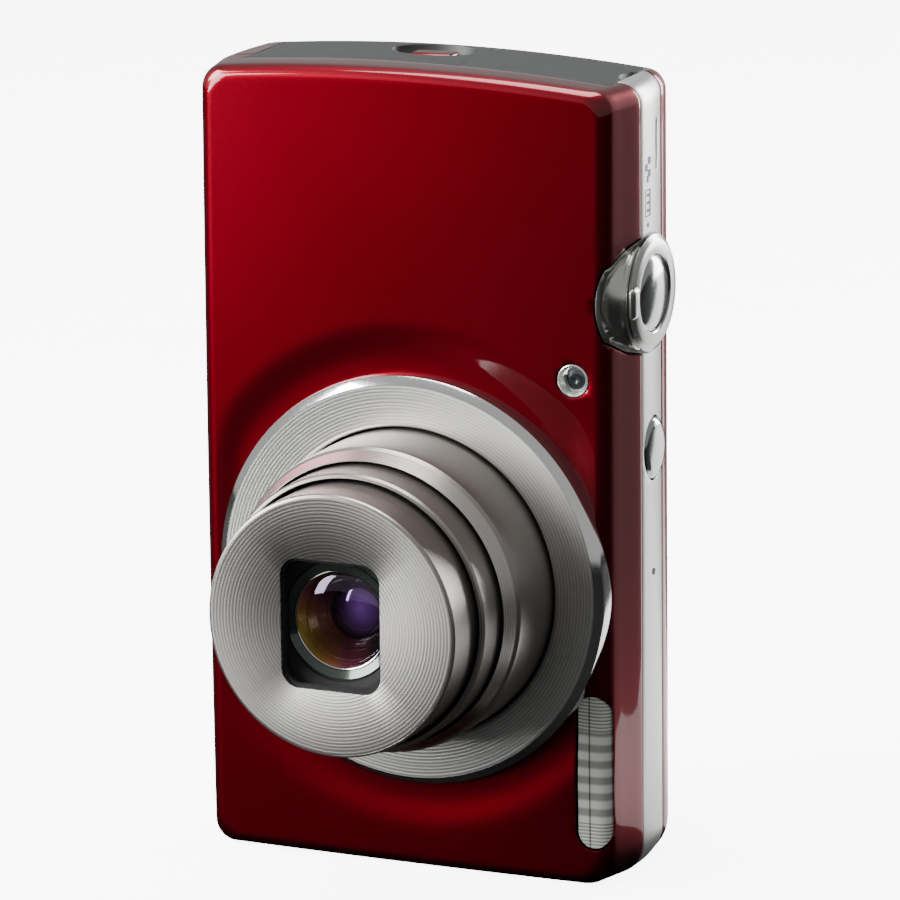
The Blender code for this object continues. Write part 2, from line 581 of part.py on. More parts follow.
def flash_and_lamp():
    """Flash window, reflector, tube and capacitor; focus lamp window and its lamp."""
    skin("flash_window", "clear", flash_outline("flash_region", 0))
    half_x, half_z = 1.9 * MM, FLASH_LENGTH / 2 - 0.6 * MM
    centre_x = FLASH_X - 1.0 * MM
    front, rear = FRONT + 3 * WALL - 0.1 * MM, FRONT + 7.2 * MM   # behind the leaning skin
    reflector = box("flash_reflector", (centre_x - half_x, front, FLASH_Z - half_z),
                    (centre_x + half_x, rear, FLASH_Z + half_z), "steel")
    trough = box("trough", (centre_x - half_x + 0.5 * MM, -FAR, FLASH_Z - half_z + 0.5 * MM),
                 (centre_x + half_x - 0.5 * MM, rear - 0.6 * MM, FLASH_Z + half_z - 0.5 * MM))
    cut(reflector, trough)
    rod("flash_tube", 0.8 * MM, FLASH_Z - half_z + 0.9 * MM, FLASH_Z + half_z - 0.9 * MM, 2,
        (centre_x, rear - 1.8 * MM, 0), "clear")
    rod("flash_capacitor", CAPACITOR_RADIUS, -20 * MM, 15 * MM, 0, (0, -1 * MM, WALL + GAP + CAPACITOR_RADIUS),
        "black")

    region = rod("lamp_region", LAMP_RADIUS, -FAR, -3 * MM, 1, (LAMP_X, 0, LAMP_Z))
    skin("focus_lamp_window", "clear", region)
    rod("focus_lamp", 1.5 * MM, FRONT + WALL + GAP, BAND_FRONT + 2 * GAP, 1, (LAMP_X, 0, LAMP_Z), "clear")


def shutter_controls():
    """Scooped bezel, zoom lever, shutter button and power button, and the board under them."""
    region = rod("bezel_region", BEZEL_RADIUS, HALF - 12 * MM, FAR, 0, (0, BEZEL_Y, DIAL_Z), None, ROUND)
    cut(region, box("bezel_limit", (-FAR, BAND_FRONT - GAP / 2, -FAR), (FAR, FAR, FAR)))
    skin("shutter_bezel", "silver", region, sunk=0.5 * MM)

    low = HALF + GAP
    high = low + DIAL_HIGH
    floor = low + 0.3 * MM
    hub_end = HALF - WALL - 0.7 * MM
    place = (0, DIAL_Y, DIAL_Z)
    lever = turned("zoom_lever", [
        (STEM_RADIUS + GAP, hub_end), (HUB_RADIUS, hub_end), (HUB_RADIUS, low), (DIAL_RADIUS - 0.2 * MM, low),
        (DIAL_RADIUS, low + 0.2 * MM), (DIAL_RADIUS, high - 0.5 * MM), (DIAL_RADIUS - 0.9 * MM, high),
        (SHUTTER_RADIUS + GAP, high), (SHUTTER_RADIUS + GAP, floor), (STEM_RADIUS + GAP, floor)],
        0, place, "silver")
    edge = DIAL_Y - DIAL_RADIUS
    join(lever, box("lever_tab", (low + 0.1 * MM, edge - 0.3 * MM, DIAL_Z - TAB_HALF),
                    (high + 0.8 * MM, edge + 1.7 * MM, DIAL_Z + TAB_HALF), None, 0.6 * MM, 0))
    cap = floor + PUSH_TRAVEL
    dome = arc((0, cap + 0.3 * MM), (SHUTTER_RADIUS, 0.45 * MM), 0, 90, 4)
    dome[-1] = (0, dome[-1][1])
    button = turned("shutter_button", [
        (0, hub_end - GAP), (STEM_RADIUS, hub_end - GAP), (STEM_RADIUS, cap), (SHUTTER_RADIUS, cap)] + dome,
        0, place, "silver", 36)
    lever_pivot = pivot("lever_pivot", (HALF, DIAL_Y, DIAL_Z))
    carry(lever_pivot, lever, button)

    power_in = HALF - WALL - GAP
    turned("power_button", [
        (0, hub_end - GAP), (STEM_RADIUS, hub_end - GAP), (STEM_RADIUS, power_in - 0.5 * MM),
        (POWER_RADIUS - 0.2 * MM, power_in - 0.5 * MM), (POWER_RADIUS - 0.2 * MM, HALF + 0.1 * MM),
        (POWER_RADIUS - 0.7 * MM, HALF + 0.45 * MM), (0, HALF + 0.45 * MM)], 0, (0, POWER_Y, POWER_Z), "silver")
    board_out = hub_end - GAP - 2 * PUSH_TRAVEL
    box("top_button_board", (board_out - 0.6 * MM, -2.8 * MM, POWER_Z - 6 * MM),
        (board_out, 3.6 * MM, DIAL_Z + 12 * MM), "board")
    rod("speaker", 3.2 * MM, HALF - WALL - GAP - 2.4 * MM, HALF - WALL - GAP, 0, (0, 0.6 * MM, 86.5 * MM), "black")


def rear_keys():
    """Names, places and radii of the back's plain keys."""
    return (
        ("movie_button", 15.0 * MM, 79.5 * MM, 3.0 * MM),
        ("playback_button", -15.5 * MM, 72.5 * MM, 2.7 * MM),
        ("menu_button", -15.5 * MM, 86.5 * MM, 2.7 * MM),
    )


def rear_controls():
    """Keys of the back, the four-way pad on its gimbal ring and the switch board under them."""
    rest = SWITCH_BOARD_FRONT + BOARD + 2 * PUSH_TRAVEL + 0.5 * MM
    keep = BACK - WALL - GAP
    for name, x, z, radius in rear_keys():
        turned(name, [
            (0, rest), (radius + 0.7 * MM, rest), (radius + 0.7 * MM, keep), (radius, keep),
            (radius, BACK), (radius - 0.3 * MM, BACK + KEY_PROUD), (0, BACK + KEY_PROUD)],
            1, (x, 0, z), "silver", SMALL_ROUND)
    place = (PAD_X, 0, PAD_Z)
    set_bore = SET_RADIUS + 2 * GAP
    under = BACK - 0.8 * MM
    turned("pad_ring", [
        (set_bore, under), (PAD_RADIUS, under), (PAD_RADIUS, BACK), (PAD_RADIUS - 0.6 * MM, BACK + KEY_PROUD),
        (set_bore + 1 * MM, BACK + KEY_PROUD), (set_bore, BACK)], 1, place, "silver")
    turned("pad_gimbal", [
        (set_bore, rest), (set_bore + 1.3 * MM, rest), (set_bore + 1.3 * MM, under - GAP), (set_bore, under - GAP)],
        1, place, "black", SMALL_ROUND)
    turned("set_button", [
        (0, rest), (SET_RADIUS, rest), (SET_RADIUS, BACK), (SET_RADIUS - 0.3 * MM, BACK + KEY_PROUD),
        (0, BACK + KEY_PROUD)], 1, place, "silver", SMALL_ROUND)
    box("switch_board", (-20 * MM, SWITCH_BOARD_FRONT, GLASS_HIGH + 3 * MM),
        (20 * MM, SWITCH_BOARD_FRONT + BOARD, LENGTH - 4.5 * MM), "board")


def display_and_boards():
    """Display with its glass, chassis plate and main board."""
    region = box("glass_region", (-GLASS_HALF, 0, GLASS_LOW), (GLASS_HALF, FAR, GLASS_HIGH), None, 1 * MM, 1)
    skin("screen_glass", "screen", region)
    box("lcd_module", (-LCD_HALF, LCD_FRONT, LCD_LOW), (LCD_HALF, LCD_BACK, LCD_HIGH), "screen")
    wide = HALF - WALL - 3 * MM
    box("chassis_plate", (-wide, CHASSIS_FRONT, BOARD_LOW), (wide, CHASSIS_FRONT + CHASSIS, BATTERY_Z), "steel",
        1 * MM, 1)
    box("main_board", (-wide, BOARD_FRONT, BOARD_LOW), (wide, BOARD_FRONT + BOARD, BATTERY_Z), "board", 1 * MM, 1)


def battery_bay():
    """Battery, its holder, memory card and card cage, behind the hinged door."""
    low = Vector((BATTERY_END, BATTERY_Y, BATTERY_Z))
    high = low + BATTERY
    box("battery", low, high, "grey", 1 * MM, 0)
    front, rear = low.y - GAP - HOLDER_WALL, high.y + GAP + HOLDER_WALL
    holder = box("battery_holder", (low.x + HOLDER_SET_BACK, front, low.z),
                 (high.x + GAP + HOLDER_WALL, rear, high.z), "black")
    cut(holder, box("battery_space", (-FAR, low.y - GAP, 0), (high.x + GAP, high.y + GAP, FAR)))
    card_low = Vector((BATTERY_END + 0.2 * MM, rear + GAP, BATTERY_Z + 5 * MM))
    card_high = card_low + CARD
    box("memory_card", card_low, card_high, "grey", 0.6 * MM, 0)
    cage_low = (card_low.x + 1.5 * MM, card_low.y, card_low.z - GAP - HOLDER_WALL)
    cage_high = (card_high.x + GAP + HOLDER_WALL, card_high.y + 2 * GAP, card_high.z + GAP + HOLDER_WALL)
    cage = box("card_cage", cage_low, cage_high, "steel")
    cut(cage, box("card_space", (-FAR, 0, card_low.z - GAP),
                  (card_high.x + GAP, card_high.y + GAP, card_high.z + GAP)))

    x, y = DOOR_AXIS[0], DOOR_AXIS[1]
    region = box("door_region", (-FAR, y - KNUCKLE / 5, DOOR_LOW + GAP),
                 (-HALF + 3 * MM, BASE_BAND_REAR - GAP / 2, DOOR_HIGH - GAP))
    door = skin("battery_door", "red_paint", region)
    join(door, rod("door_knuckle", KNUCKLE, DOOR_LOW + GAP, DOOR_HIGH - GAP, 2, DOOR_AXIS))
    cut(door, rod("door_bore", PIN_RADIUS + GAP / 2, -FAR, FAR, 2, DOOR_AXIS, None, BORE_ROUND))
    latch_z, latch_y = DOOR_LOW + 5 * MM, y + 4.5 * MM
    slot_half = LATCH_WIDE / 2 + GAP
    cut(door, box("latch_slot", (-FAR, latch_y - slot_half, latch_z),
                  (x + 4 * MM, latch_y + slot_half, latch_z + LATCH_LONG + 2 * LATCH_TRAVEL)))
    slider = box("battery_latch", (-HALF + 0.2 * MM, latch_y - LATCH_WIDE / 2, latch_z + GAP),
                 (-HALF + WALL + 0.3 * MM, latch_y + LATCH_WIDE / 2, latch_z + GAP + LATCH_LONG), "grey",
                 0.5 * MM, 0, origin=(-HALF, latch_y, latch_z))
    rod("door_hinge_pin", PIN_RADIUS, DOOR_LOW - 0.8 * MM, DOOR_HIGH + 0.8 * MM, 2, DOOR_AXIS, "steel")
    carry(pivot("door_pivot", DOOR_AXIS), door, slider)


def base_fixings():
    """Tripod socket and the base panel's screw."""
    face, place = -HALF, (0, TRIPOD_Y, TRIPOD_Z)
    end = face + TRIPOD_DEPTH
    turned("tripod_socket", [
        (0, end), (TRIPOD_THREAD, end), (TRIPOD_THREAD, face + WALL + GAP), (TRIPOD_RADIUS, face + WALL + GAP),
        (TRIPOD_RADIUS, end + 0.8 * MM), (0, end + 0.8 * MM)], 0, place, "brass")
    head, shank = 1.2 * MM, 0.6 * MM
    turned("base_screw_1", [
        (0, face + 0.1 * MM), (head, face + 0.1 * MM), (head, face + 0.9 * MM), (shank, face + 0.9 * MM),
        (shank, face + 4.5 * MM), (0, face + 4.5 * MM)], 0, (0, TRIPOD_Y, SCREW_Z), "steel", SMALL_ROUND)


for stale in list(bpy.data.objects):
    bpy.data.objects.remove(stale, do_unlink=True)
PARTS = collection("compact_camera")
CUTTERS = collection("cutters")

covers()
band()
strap_anchor()
terminal_flap()
lens_barrels()
optics(lens_face())
flash_and_lamp()
shutter_controls()
rear_controls()
display_and_boards()
battery_bay()
base_fixings()
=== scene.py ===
"""Finishes and fine shapes of the compact camera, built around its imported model."""

import math

import bmesh
import bpy
from mathutils import Matrix, Vector


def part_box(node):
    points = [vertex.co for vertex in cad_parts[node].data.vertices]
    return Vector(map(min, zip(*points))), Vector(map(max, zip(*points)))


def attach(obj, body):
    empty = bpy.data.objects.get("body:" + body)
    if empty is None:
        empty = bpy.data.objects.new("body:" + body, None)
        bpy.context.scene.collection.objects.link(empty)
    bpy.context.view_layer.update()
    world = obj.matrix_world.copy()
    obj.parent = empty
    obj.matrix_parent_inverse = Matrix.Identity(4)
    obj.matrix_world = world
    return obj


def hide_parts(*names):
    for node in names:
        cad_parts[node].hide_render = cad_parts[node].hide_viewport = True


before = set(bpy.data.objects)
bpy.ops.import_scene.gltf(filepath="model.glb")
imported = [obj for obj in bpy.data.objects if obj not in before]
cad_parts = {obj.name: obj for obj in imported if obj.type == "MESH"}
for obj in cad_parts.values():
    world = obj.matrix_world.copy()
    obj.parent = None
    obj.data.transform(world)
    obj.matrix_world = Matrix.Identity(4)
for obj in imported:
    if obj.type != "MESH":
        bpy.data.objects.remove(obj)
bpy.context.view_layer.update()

MM = 0.001

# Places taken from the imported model
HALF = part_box("top_panel")[1].x     # half the width, base to top
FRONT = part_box("front_cover")[0].y
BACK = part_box("rear_cover")[1].y
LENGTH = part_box("end_panel")[1].z
RING_LOW, RING_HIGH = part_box("lens_ring")
LENS_X = (RING_LOW.x + RING_HIGH.x) / 2
LENS_Z = (RING_LOW.z + RING_HIGH.z) / 2
RING_RADIUS = (RING_HIGH.x - RING_LOW.x) / 2
RING_FRONT = RING_LOW.y
OUTER_LOW, OUTER_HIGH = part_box("outer_barrel")
MIDDLE_LOW, MIDDLE_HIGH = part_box("middle_barrel")
INNER_LOW, INNER_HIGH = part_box("inner_barrel")
DIAL_LOW, DIAL_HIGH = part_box("zoom_lever")
BUTTON_LOW, BUTTON_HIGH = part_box("shutter_button")
POWER_LOW, POWER_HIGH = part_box("power_button")
DOOR_LOW, DOOR_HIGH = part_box("battery_door")
END_LOW, END_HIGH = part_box("end_panel")
FLAP_LOW, FLAP_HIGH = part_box("terminal_flap")
GLASS_LOW, GLASS_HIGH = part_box("screen_glass")
FLASH_LOW, FLASH_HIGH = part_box("flash_window")
LAMP_LOW, LAMP_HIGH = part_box("focus_lamp_window")
STRAP_LOW, STRAP_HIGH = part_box("strap_bar")
SOCKET_LOW, SOCKET_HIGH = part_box("tripod_socket")
BAND_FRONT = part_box("top_panel")[0].y
BAND_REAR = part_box("top_panel")[1].y
BASE_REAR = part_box("base_panel")[1].y

MIDDLE_Z = LENGTH / 2
SEAM = 0.12 * MM                   # half of each visible seam between shells
SHELL = 1.2 * MM
SIDE_CROWN = 0.8 * MM              # how far the band has curved in at its rear seam
CROWN_BACK = 1.2 * MM              # where the band is widest, behind its front seam
FRONT_CROWN = 0.5 * MM
END_CROWN = 1.5 * MM
END_RISE = 0.7 * MM                # middle of the crowned end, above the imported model's
TINY = 2e-6
KNUCKLE = 0.8 * MM                 # hinge barrel of the battery door and the flap
FAR = 0.15
DIAL_Y = (BUTTON_LOW.y + BUTTON_HIGH.y) / 2
DIAL_Z = (BUTTON_LOW.z + BUTTON_HIGH.z) / 2
DIAL_RADIUS = (DIAL_HIGH.z - DIAL_LOW.z) / 2
BUTTON_RADIUS = (BUTTON_HIGH.z - BUTTON_LOW.z) / 2
POWER_Y = (POWER_LOW.y + POWER_HIGH.y) / 2
POWER_Z = (POWER_LOW.z + POWER_HIGH.z) / 2
POWER_RADIUS = (POWER_HIGH.z - POWER_LOW.z) / 2
FLASH_HALF = (FLASH_HIGH.x - FLASH_LOW.x) / 2
LAMP_X = (LAMP_LOW.x + LAMP_HIGH.x) / 2
LAMP_Z = (LAMP_LOW.z + LAMP_HIGH.z) / 2
LAMP_RADIUS = (LAMP_HIGH.x - LAMP_LOW.x) / 2
STRAP_X = (STRAP_LOW.x + STRAP_HIGH.x) / 2
END_HIGH_X = FLAP_HIGH.x + 0.15 * MM
END_TOP = LENGTH + END_RISE
KEY_STRETCH = 1.18                 # the power button is longer than it is wide


# Camera, lights and floor

def aim_camera():
    """A long lens, turned to the camera's top side and a little above it."""
    azimuth, elevation, roll = (math.radians(a) for a in (24.355, 13.712, -0.619))
    target = Vector((1.185 * MM, 0, 48.471 * MM))
    back = Vector((math.sin(azimuth) * math.cos(elevation), -math.cos(azimuth) * math.cos(elevation),
                   math.sin(elevation)))
    right = (-back).cross(Vector((0, 0, 1))).normalized()
    up = right.cross(-back)
    across = math.cos(roll) * right + math.sin(roll) * up
    upward = -math.sin(roll) * right + math.cos(roll) * up
    turn = Matrix((across, upward, back)).transposed().to_4x4()
    data = bpy.data.cameras.new("view")
    data.sensor_width = 36
    data.lens = 270.26
    data.clip_start = 0.01
    camera = bpy.data.objects.new("view", data)
    camera.matrix_world = Matrix.Translation(target + back * 0.79645) @ turn
    bpy.context.scene.collection.objects.link(camera)
    bpy.context.scene.camera = camera


def area_light(name, place, target, size, power):
    """A soft box facing target."""
    data = bpy.data.lights.new(name, "AREA")
    data.shape = "RECTANGLE"
    data.size, data.size_y = size
    data.energy = power
    lamp = bpy.data.objects.new(name, data)
    lamp.location = place
    lamp.rotation_euler = (Vector(target) - Vector(place)).to_track_quat("-Z", "Y").to_euler()
    lamp.visible_camera = False
    bpy.context.scene.collection.objects.link(lamp)


def dark_card(name, place, turn, size, shade=0.01):
    """A card that shows only in reflections and keeps them dark there."""
    deselect()
    bpy.ops.mesh.primitive_plane_add(size=1, location=place, rotation=turn)
    card = bpy.context.object
    card.name = name
    card.scale = (size[0], size[1], 1)
    look = plain_look(name + "_look", (shade, shade, shade), 0.9)
    look.node_tree.nodes["Principled BSDF"].inputs["Specular IOR Level"].default_value = 0
    card.data.materials.append(look)
    card.visible_camera = False
    card.visible_diffuse = False
    card.visible_shadow = False
    card.visible_transmission = False


def light_stage():
    """Pale floor, pale surroundings and the studio's soft boxes."""
    world = bpy.data.worlds.new("studio")
    world.use_nodes = True
    world.node_tree.nodes["Background"].inputs["Color"].default_value = (1, 1, 1, 1)
    world.node_tree.nodes["Background"].inputs["Strength"].default_value = 0.4
    bpy.context.scene.world = world
    deselect()
    bpy.ops.mesh.primitive_plane_add(size=8, location=(0, 0, -0.02 * MM))
    floor = bpy.context.object
    floor.name = "floor"
    pale = plain_look("floor_look", (0.93, 0.93, 0.93), 0.9)
    pale.node_tree.nodes["Principled BSDF"].inputs["Emission Color"].default_value = (1, 1, 1, 1)
    pale.node_tree.nodes["Principled BSDF"].inputs["Emission Strength"].default_value = 7.0
    floor.data.materials.append(pale)
    floor.visible_diffuse = False
    floor.visible_glossy = False
    middle = (0, 0, 0.05)
    area_light("overhead_box", (-0.05, 0.02, 0.60), middle, (0.45, 0.30), 5)
    area_light("left_box", (-0.52, -0.30, 0.36), middle, (0.25, 0.40), 8)
    area_light("front_left_box", (-0.52, -0.56, 0.20), middle, (0.28, 0.40), 6.5)
    area_light("right_box", (0.21, 0.46, 0.16), middle, (0.14, 0.36), 3.0)
    dark_card("low_card", (0, -0.75, -0.01 * MM), (0, 0, 0), (3.0, 1.5))
    dark_card("rear_card", (0, 0.75, -0.01 * MM), (0, 0, 0), (3.0, 1.5), 0.03)
    dark_card("bright_card", (0.107, 0.225, 0.01 * MM), (0, 0, math.radians(70)), (0.45, 0.07), 0.9)


# Modelling steps

def deselect():
    """Leaves edit mode and clears the selection."""
    if bpy.context.object and bpy.context.object.mode != "OBJECT":
        bpy.ops.object.mode_set(mode="OBJECT")
    bpy.ops.object.select_all(action="DESELECT")


def take(obj):
    """Makes obj the one selected and active object."""
    deselect()
    obj.select_set(True)
    bpy.context.view_layer.objects.active = obj


def edit(obj, everything=False):
    """Enters edit mode with nothing selected, or all of it."""
    take(obj)
    bpy.ops.object.mode_set(mode="EDIT")
    bpy.ops.mesh.select_all(action="SELECT" if everything else "DESELECT")


def choose(obj, kind, test):
    """In edit mode, selects the verts, edges or faces whose middle passes test."""
    bpy.ops.mesh.select_mode(type={"verts": "VERT", "edges": "EDGE", "faces": "FACE"}[kind])
    bpy.ops.mesh.select_all(action="DESELECT")
    bm = bmesh.from_edit_mesh(obj.data)
    for part in getattr(bm, kind):
        points = [part.co] if kind == "verts" else [v.co for v in part.verts]
        if test(sum(points, Vector()) / len(points), part):
            part.select_set(True)
    bmesh.update_edit_mesh(obj.data)


def close_up(obj, merge=5e-6):
    """Merges doubles, turns the faces outwards and puts the place into the mesh."""
    edit(obj, everything=True)
    bpy.ops.mesh.remove_doubles(threshold=merge)
    bpy.ops.mesh.normals_make_consistent(inside=False)
    take(obj)
    bpy.ops.object.transform_apply(location=True, rotation=True, scale=True)
    return obj


def placed(name, scale=None):
    """Names the primitive just added and puts its place, and a size if given, into its mesh."""
    obj = bpy.context.object
    obj.name = name
    if scale:
        obj.scale = scale
    bpy.ops.object.transform_apply(location=True, rotation=True, scale=True)
    return obj


def modify(obj, kind, **settings):
    """Adds a modifier and applies it."""
    take(obj)
    step = obj.modifiers.new(kind.lower(), kind)
    for key, value in settings.items():
        setattr(step, key, value)
    bpy.ops.object.modifier_apply(modifier=step.name)
    return obj


def combine(obj, operation, *others):
    """Applies a Boolean with each helper and removes the helpers."""
    for other in others:
        modify(obj, "BOOLEAN", operation=operation, solver="MANIFOLD", object=other)
        bpy.data.objects.remove(other, do_unlink=True)
    return obj


def cut(obj, *others):
    return combine(obj, "DIFFERENCE", *others)


def join(obj, *others):
    return combine(obj, "UNION", *others)


def block(name, low, high, round_off=0, segments=3, along=None):
    """A box between two corners, its edges rounded, or only those along one axis."""
    low, high = Vector(low), Vector(high)
    deselect()
    bpy.ops.mesh.primitive_cube_add(size=1, location=(low + high) / 2, scale=high - low)
    obj = placed(name)
    if round_off:
        edit(obj)
        choose(obj, "edges", lambda at, e: along is None
               or abs((e.verts[0].co - e.verts[1].co).normalized()[along]) > 0.9)
        bpy.ops.mesh.bevel(offset=round_off, segments=segments, affect="EDGES", clamp_overlap=True)
    deselect()
    return obj


AXES = {"X": ((0, math.pi / 2, 0), 0), "Y": ((math.pi / 2, 0, 0), 1), "Z": ((0, 0, 0), 2)}


def turned(name, profile, axis="Y", centre=None, steps=128):
    """A ring extruded and resized along profile, a list of (radius, place along the axis)."""
    turn, index = AXES[axis]
    centre = Vector(centre or (LENS_X, 0, LENS_Z))
    centre[index] = profile[0][1]
    deselect()
    bpy.ops.mesh.primitive_circle_add(vertices=steps, radius=max(profile[0][0], TINY), fill_type="NOTHING",
                                      location=centre, rotation=turn)
    obj = placed(name)
    edit(obj, everything=True)
    for (radius, place), (next_radius, next_place) in zip(profile, profile[1:]):
        step = Vector()
        step[index] = next_place - place
        centre[index] = next_place
        bpy.ops.mesh.extrude_edges_move(TRANSFORM_OT_translate={"value": step})
        ratio = max(next_radius, TINY) / max(radius, TINY)
        scale = [ratio, ratio, ratio]
        scale[index] = 1
        bpy.ops.transform.resize(value=scale, center_override=centre)
    return close_up(obj)


def softened(profile, radius, steps=3):
    """The closed profile with each corner rounded off by about radius."""
    points = [Vector(p) for p in profile]
    result = []
    for before, corner, after in zip(points[-1:] + points, points, points[1:] + points[:1]):
        back = min(radius, 0.45 * (before - corner).length)
        ahead = min(radius, 0.45 * (after - corner).length)
        start = corner + (before - corner).normalized() * back
        end = corner + (after - corner).normalized() * ahead
        for k in range(steps + 1):
            t = k / steps
            result.append(tuple(start * (1 - t) ** 2 + corner * 2 * t * (1 - t) + end * t * t))
    return result + result[:1]


def settle(obj, body, look, slot, *nodes, smooth=32, even=False):
    """Shades the piece, gives it its finish and hands it to the body it moves with."""
    take(obj)
    if smooth:
        bpy.ops.object.shade_smooth_by_angle(angle=math.radians(smooth))
    if even:
        modify(obj, "WEIGHTED_NORMAL", keep_sharp=True, weight=100)
    obj.data.materials.clear()
    obj.data.materials.append(LOOKS[look])
    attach(obj, body)
    if nodes:
        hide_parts(*nodes)
    deselect()
    return obj


# Finishes

def start_look(name, colour, roughness, metallic=0.0, coat=0.0, coat_roughness=0.03):
    """A new finish with its shader set; returns the material and its shader."""
    look = bpy.data.materials.new(name)
    look.use_nodes = True
    shader = look.node_tree.nodes["Principled BSDF"]
    shader.inputs["Base Color"].default_value = (*colour, 1)
    shader.inputs["Roughness"].default_value = roughness
    shader.inputs["Metallic"].default_value = metallic
    shader.inputs["Coat Weight"].default_value = coat
    shader.inputs["Coat Roughness"].default_value = coat_roughness
    return look, shader


def node(look, kind, inputs=None, **settings):
    """Adds a node; inputs maps a socket to a value or to another node's output."""
    made = look.node_tree.nodes.new("ShaderNode" + kind)
    for key, value in settings.items():
        setattr(made, key, value)
    for key, value in (inputs or {}).items():
        if isinstance(value, bpy.types.NodeSocket):
            look.node_tree.links.new(value, made.inputs[key])
        else:
            made.inputs[key].default_value = value
    return made


def wire(look, output, target):
    look.node_tree.links.new(output, target)


def place_of(look):
    """The socket of the surface point's place on the object."""
    return node(look, "TexCoord").outputs["Object"]


def tint(look, shader, factor, colour_a, colour_b):
    """Base colour that runs between two colours by factor."""
    ramp = node(look, "ValToRGB", {"Fac": factor})
    ramp.color_ramp.elements[0].color = (*colour_a, 1)
    ramp.color_ramp.elements[1].color = (*colour_b, 1)
    wire(look, ramp.outputs["Color"], shader.inputs["Base Color"])
    return ramp


def spread(look, shader, factor, low, high):
    """Roughness that runs between two values by factor."""
    span = node(look, "MapRange", {"Value": factor, "To Min": low, "To Max": high})
    wire(look, span.outputs["Result"], shader.inputs["Roughness"])


def relief(look, shader, height, strength, distance):
    """Bump from a height."""
    bump = node(look, "Bump", {"Height": height, "Strength": strength, "Distance": distance})
    wire(look, bump.outputs["Normal"], shader.inputs["Normal"])
    return bump


def plain_look(name, colour, roughness, metallic=0.0, scale=900, vary=0.12, bump=0.15, **coat):
    """Moulded or cast surface: slight colour and gloss drift with a fine grain."""
    look, shader = start_look(name, colour, roughness, metallic, **coat)
    where = place_of(look)
    drift = node(look, "TexNoise", {"Vector": where, "Scale": scale / 12, "Detail": 3.0})
    grain = node(look, "TexNoise", {"Vector": where, "Scale": scale * 4, "Detail": 2.0})
    low = tuple(c * (1 - vary) for c in colour)
    high = tuple(min(1, c * (1 + vary)) for c in colour)
    tint(look, shader, drift.outputs["Fac"], low, high)
    spread(look, shader, grain.outputs["Fac"], max(0, roughness - 0.06), min(1, roughness + 0.06))
    relief(look, shader, grain.outputs["Fac"], bump, 0.02 * MM)
    return look


def red_paint_look():
    """Deep red metallic paint: flakes under a glossy clear coat."""
    look, shader = start_look("red_paint", (0.15, 0.0, 0.008), 0.36, 1.0, coat=1.0, coat_roughness=0.04)
    where = place_of(look)
    flakes = node(look, "TexVoronoi", {"Vector": where, "Scale": 9000.0})
    drift = node(look, "TexNoise", {"Vector": where, "Scale": 40.0, "Detail": 2.0})
    mixed = node(look, "Math", {0: flakes.outputs["Distance"], 1: drift.outputs["Fac"]}, operation="MULTIPLY")
    tint(look, shader, mixed.outputs["Value"], (0.12, 0.0, 0.005), (0.21, 0.0, 0.012))
    relief(look, shader, flakes.outputs["Distance"], 0.08, 0.01 * MM)
    return look


def from_axis(look, centre, index):
    """Distance from an axis through centre that runs along the index axis."""
    where = place_of(look)
    scale = [1, 1, 1]
    scale[index] = 0
    moved = node(look, "Mapping", {"Vector": where, "Location": [-c * s for c, s in zip(centre, scale)],
                                   "Scale": scale})
    return node(look, "VectorMath", {0: moved.outputs["Vector"]}, operation="LENGTH").outputs["Value"]


def brushed_look(name, colour, roughness, centre, index=1, pitch=0.4 * MM, depth=0.5, vary=0.14):
    """Metal turned about an axis: fine concentric grooves of one pitch, some deeper than others, with painted shade in
    the groove hollows and a painted sheen on the crests.
    """
    look, shader = start_look(name, colour, roughness, 1.0)
    radius = from_axis(look, centre, index)
    count = node(look, "Math", {0: radius, 1: math.tau / pitch}, operation="MULTIPLY")
    groove = node(look, "Math", {0: count.outputs["Value"]}, operation="SINE")
    uneven = node(look, "TexNoise", {"W": radius, "Scale": 6000.0, "Detail": 3.0}, noise_dimensions="1D")
    height = node(look, "Math", {0: groove.outputs["Value"], 1: 0.5, 2: uneven.outputs["Fac"]},
                  operation="MULTIPLY_ADD")
    low = tuple(c * (1 - vary) for c in colour)
    high = tuple(min(1, c * (1 + vary)) for c in colour)
    # colour follows the groove height with some random drift: painted shade in the hollows, painted sheen on the crests
    share = node(look, "MapRange", {"Value": height.outputs["Value"], "From Min": 0.1, "From Max": 0.9})
    tint(look, shader, share.outputs["Result"], low, high)
    spread(look, shader, uneven.outputs["Fac"], roughness - 0.03, roughness + 0.03)
    shader.inputs["Anisotropic"].default_value = 0.35
    wire(look, node(look, "Tangent", direction_type="RADIAL", axis="XYZ"[index]).outputs["Tangent"],
         shader.inputs["Tangent"])
    relief(look, shader, height.outputs["Value"], depth, 0.012 * MM)
    return look


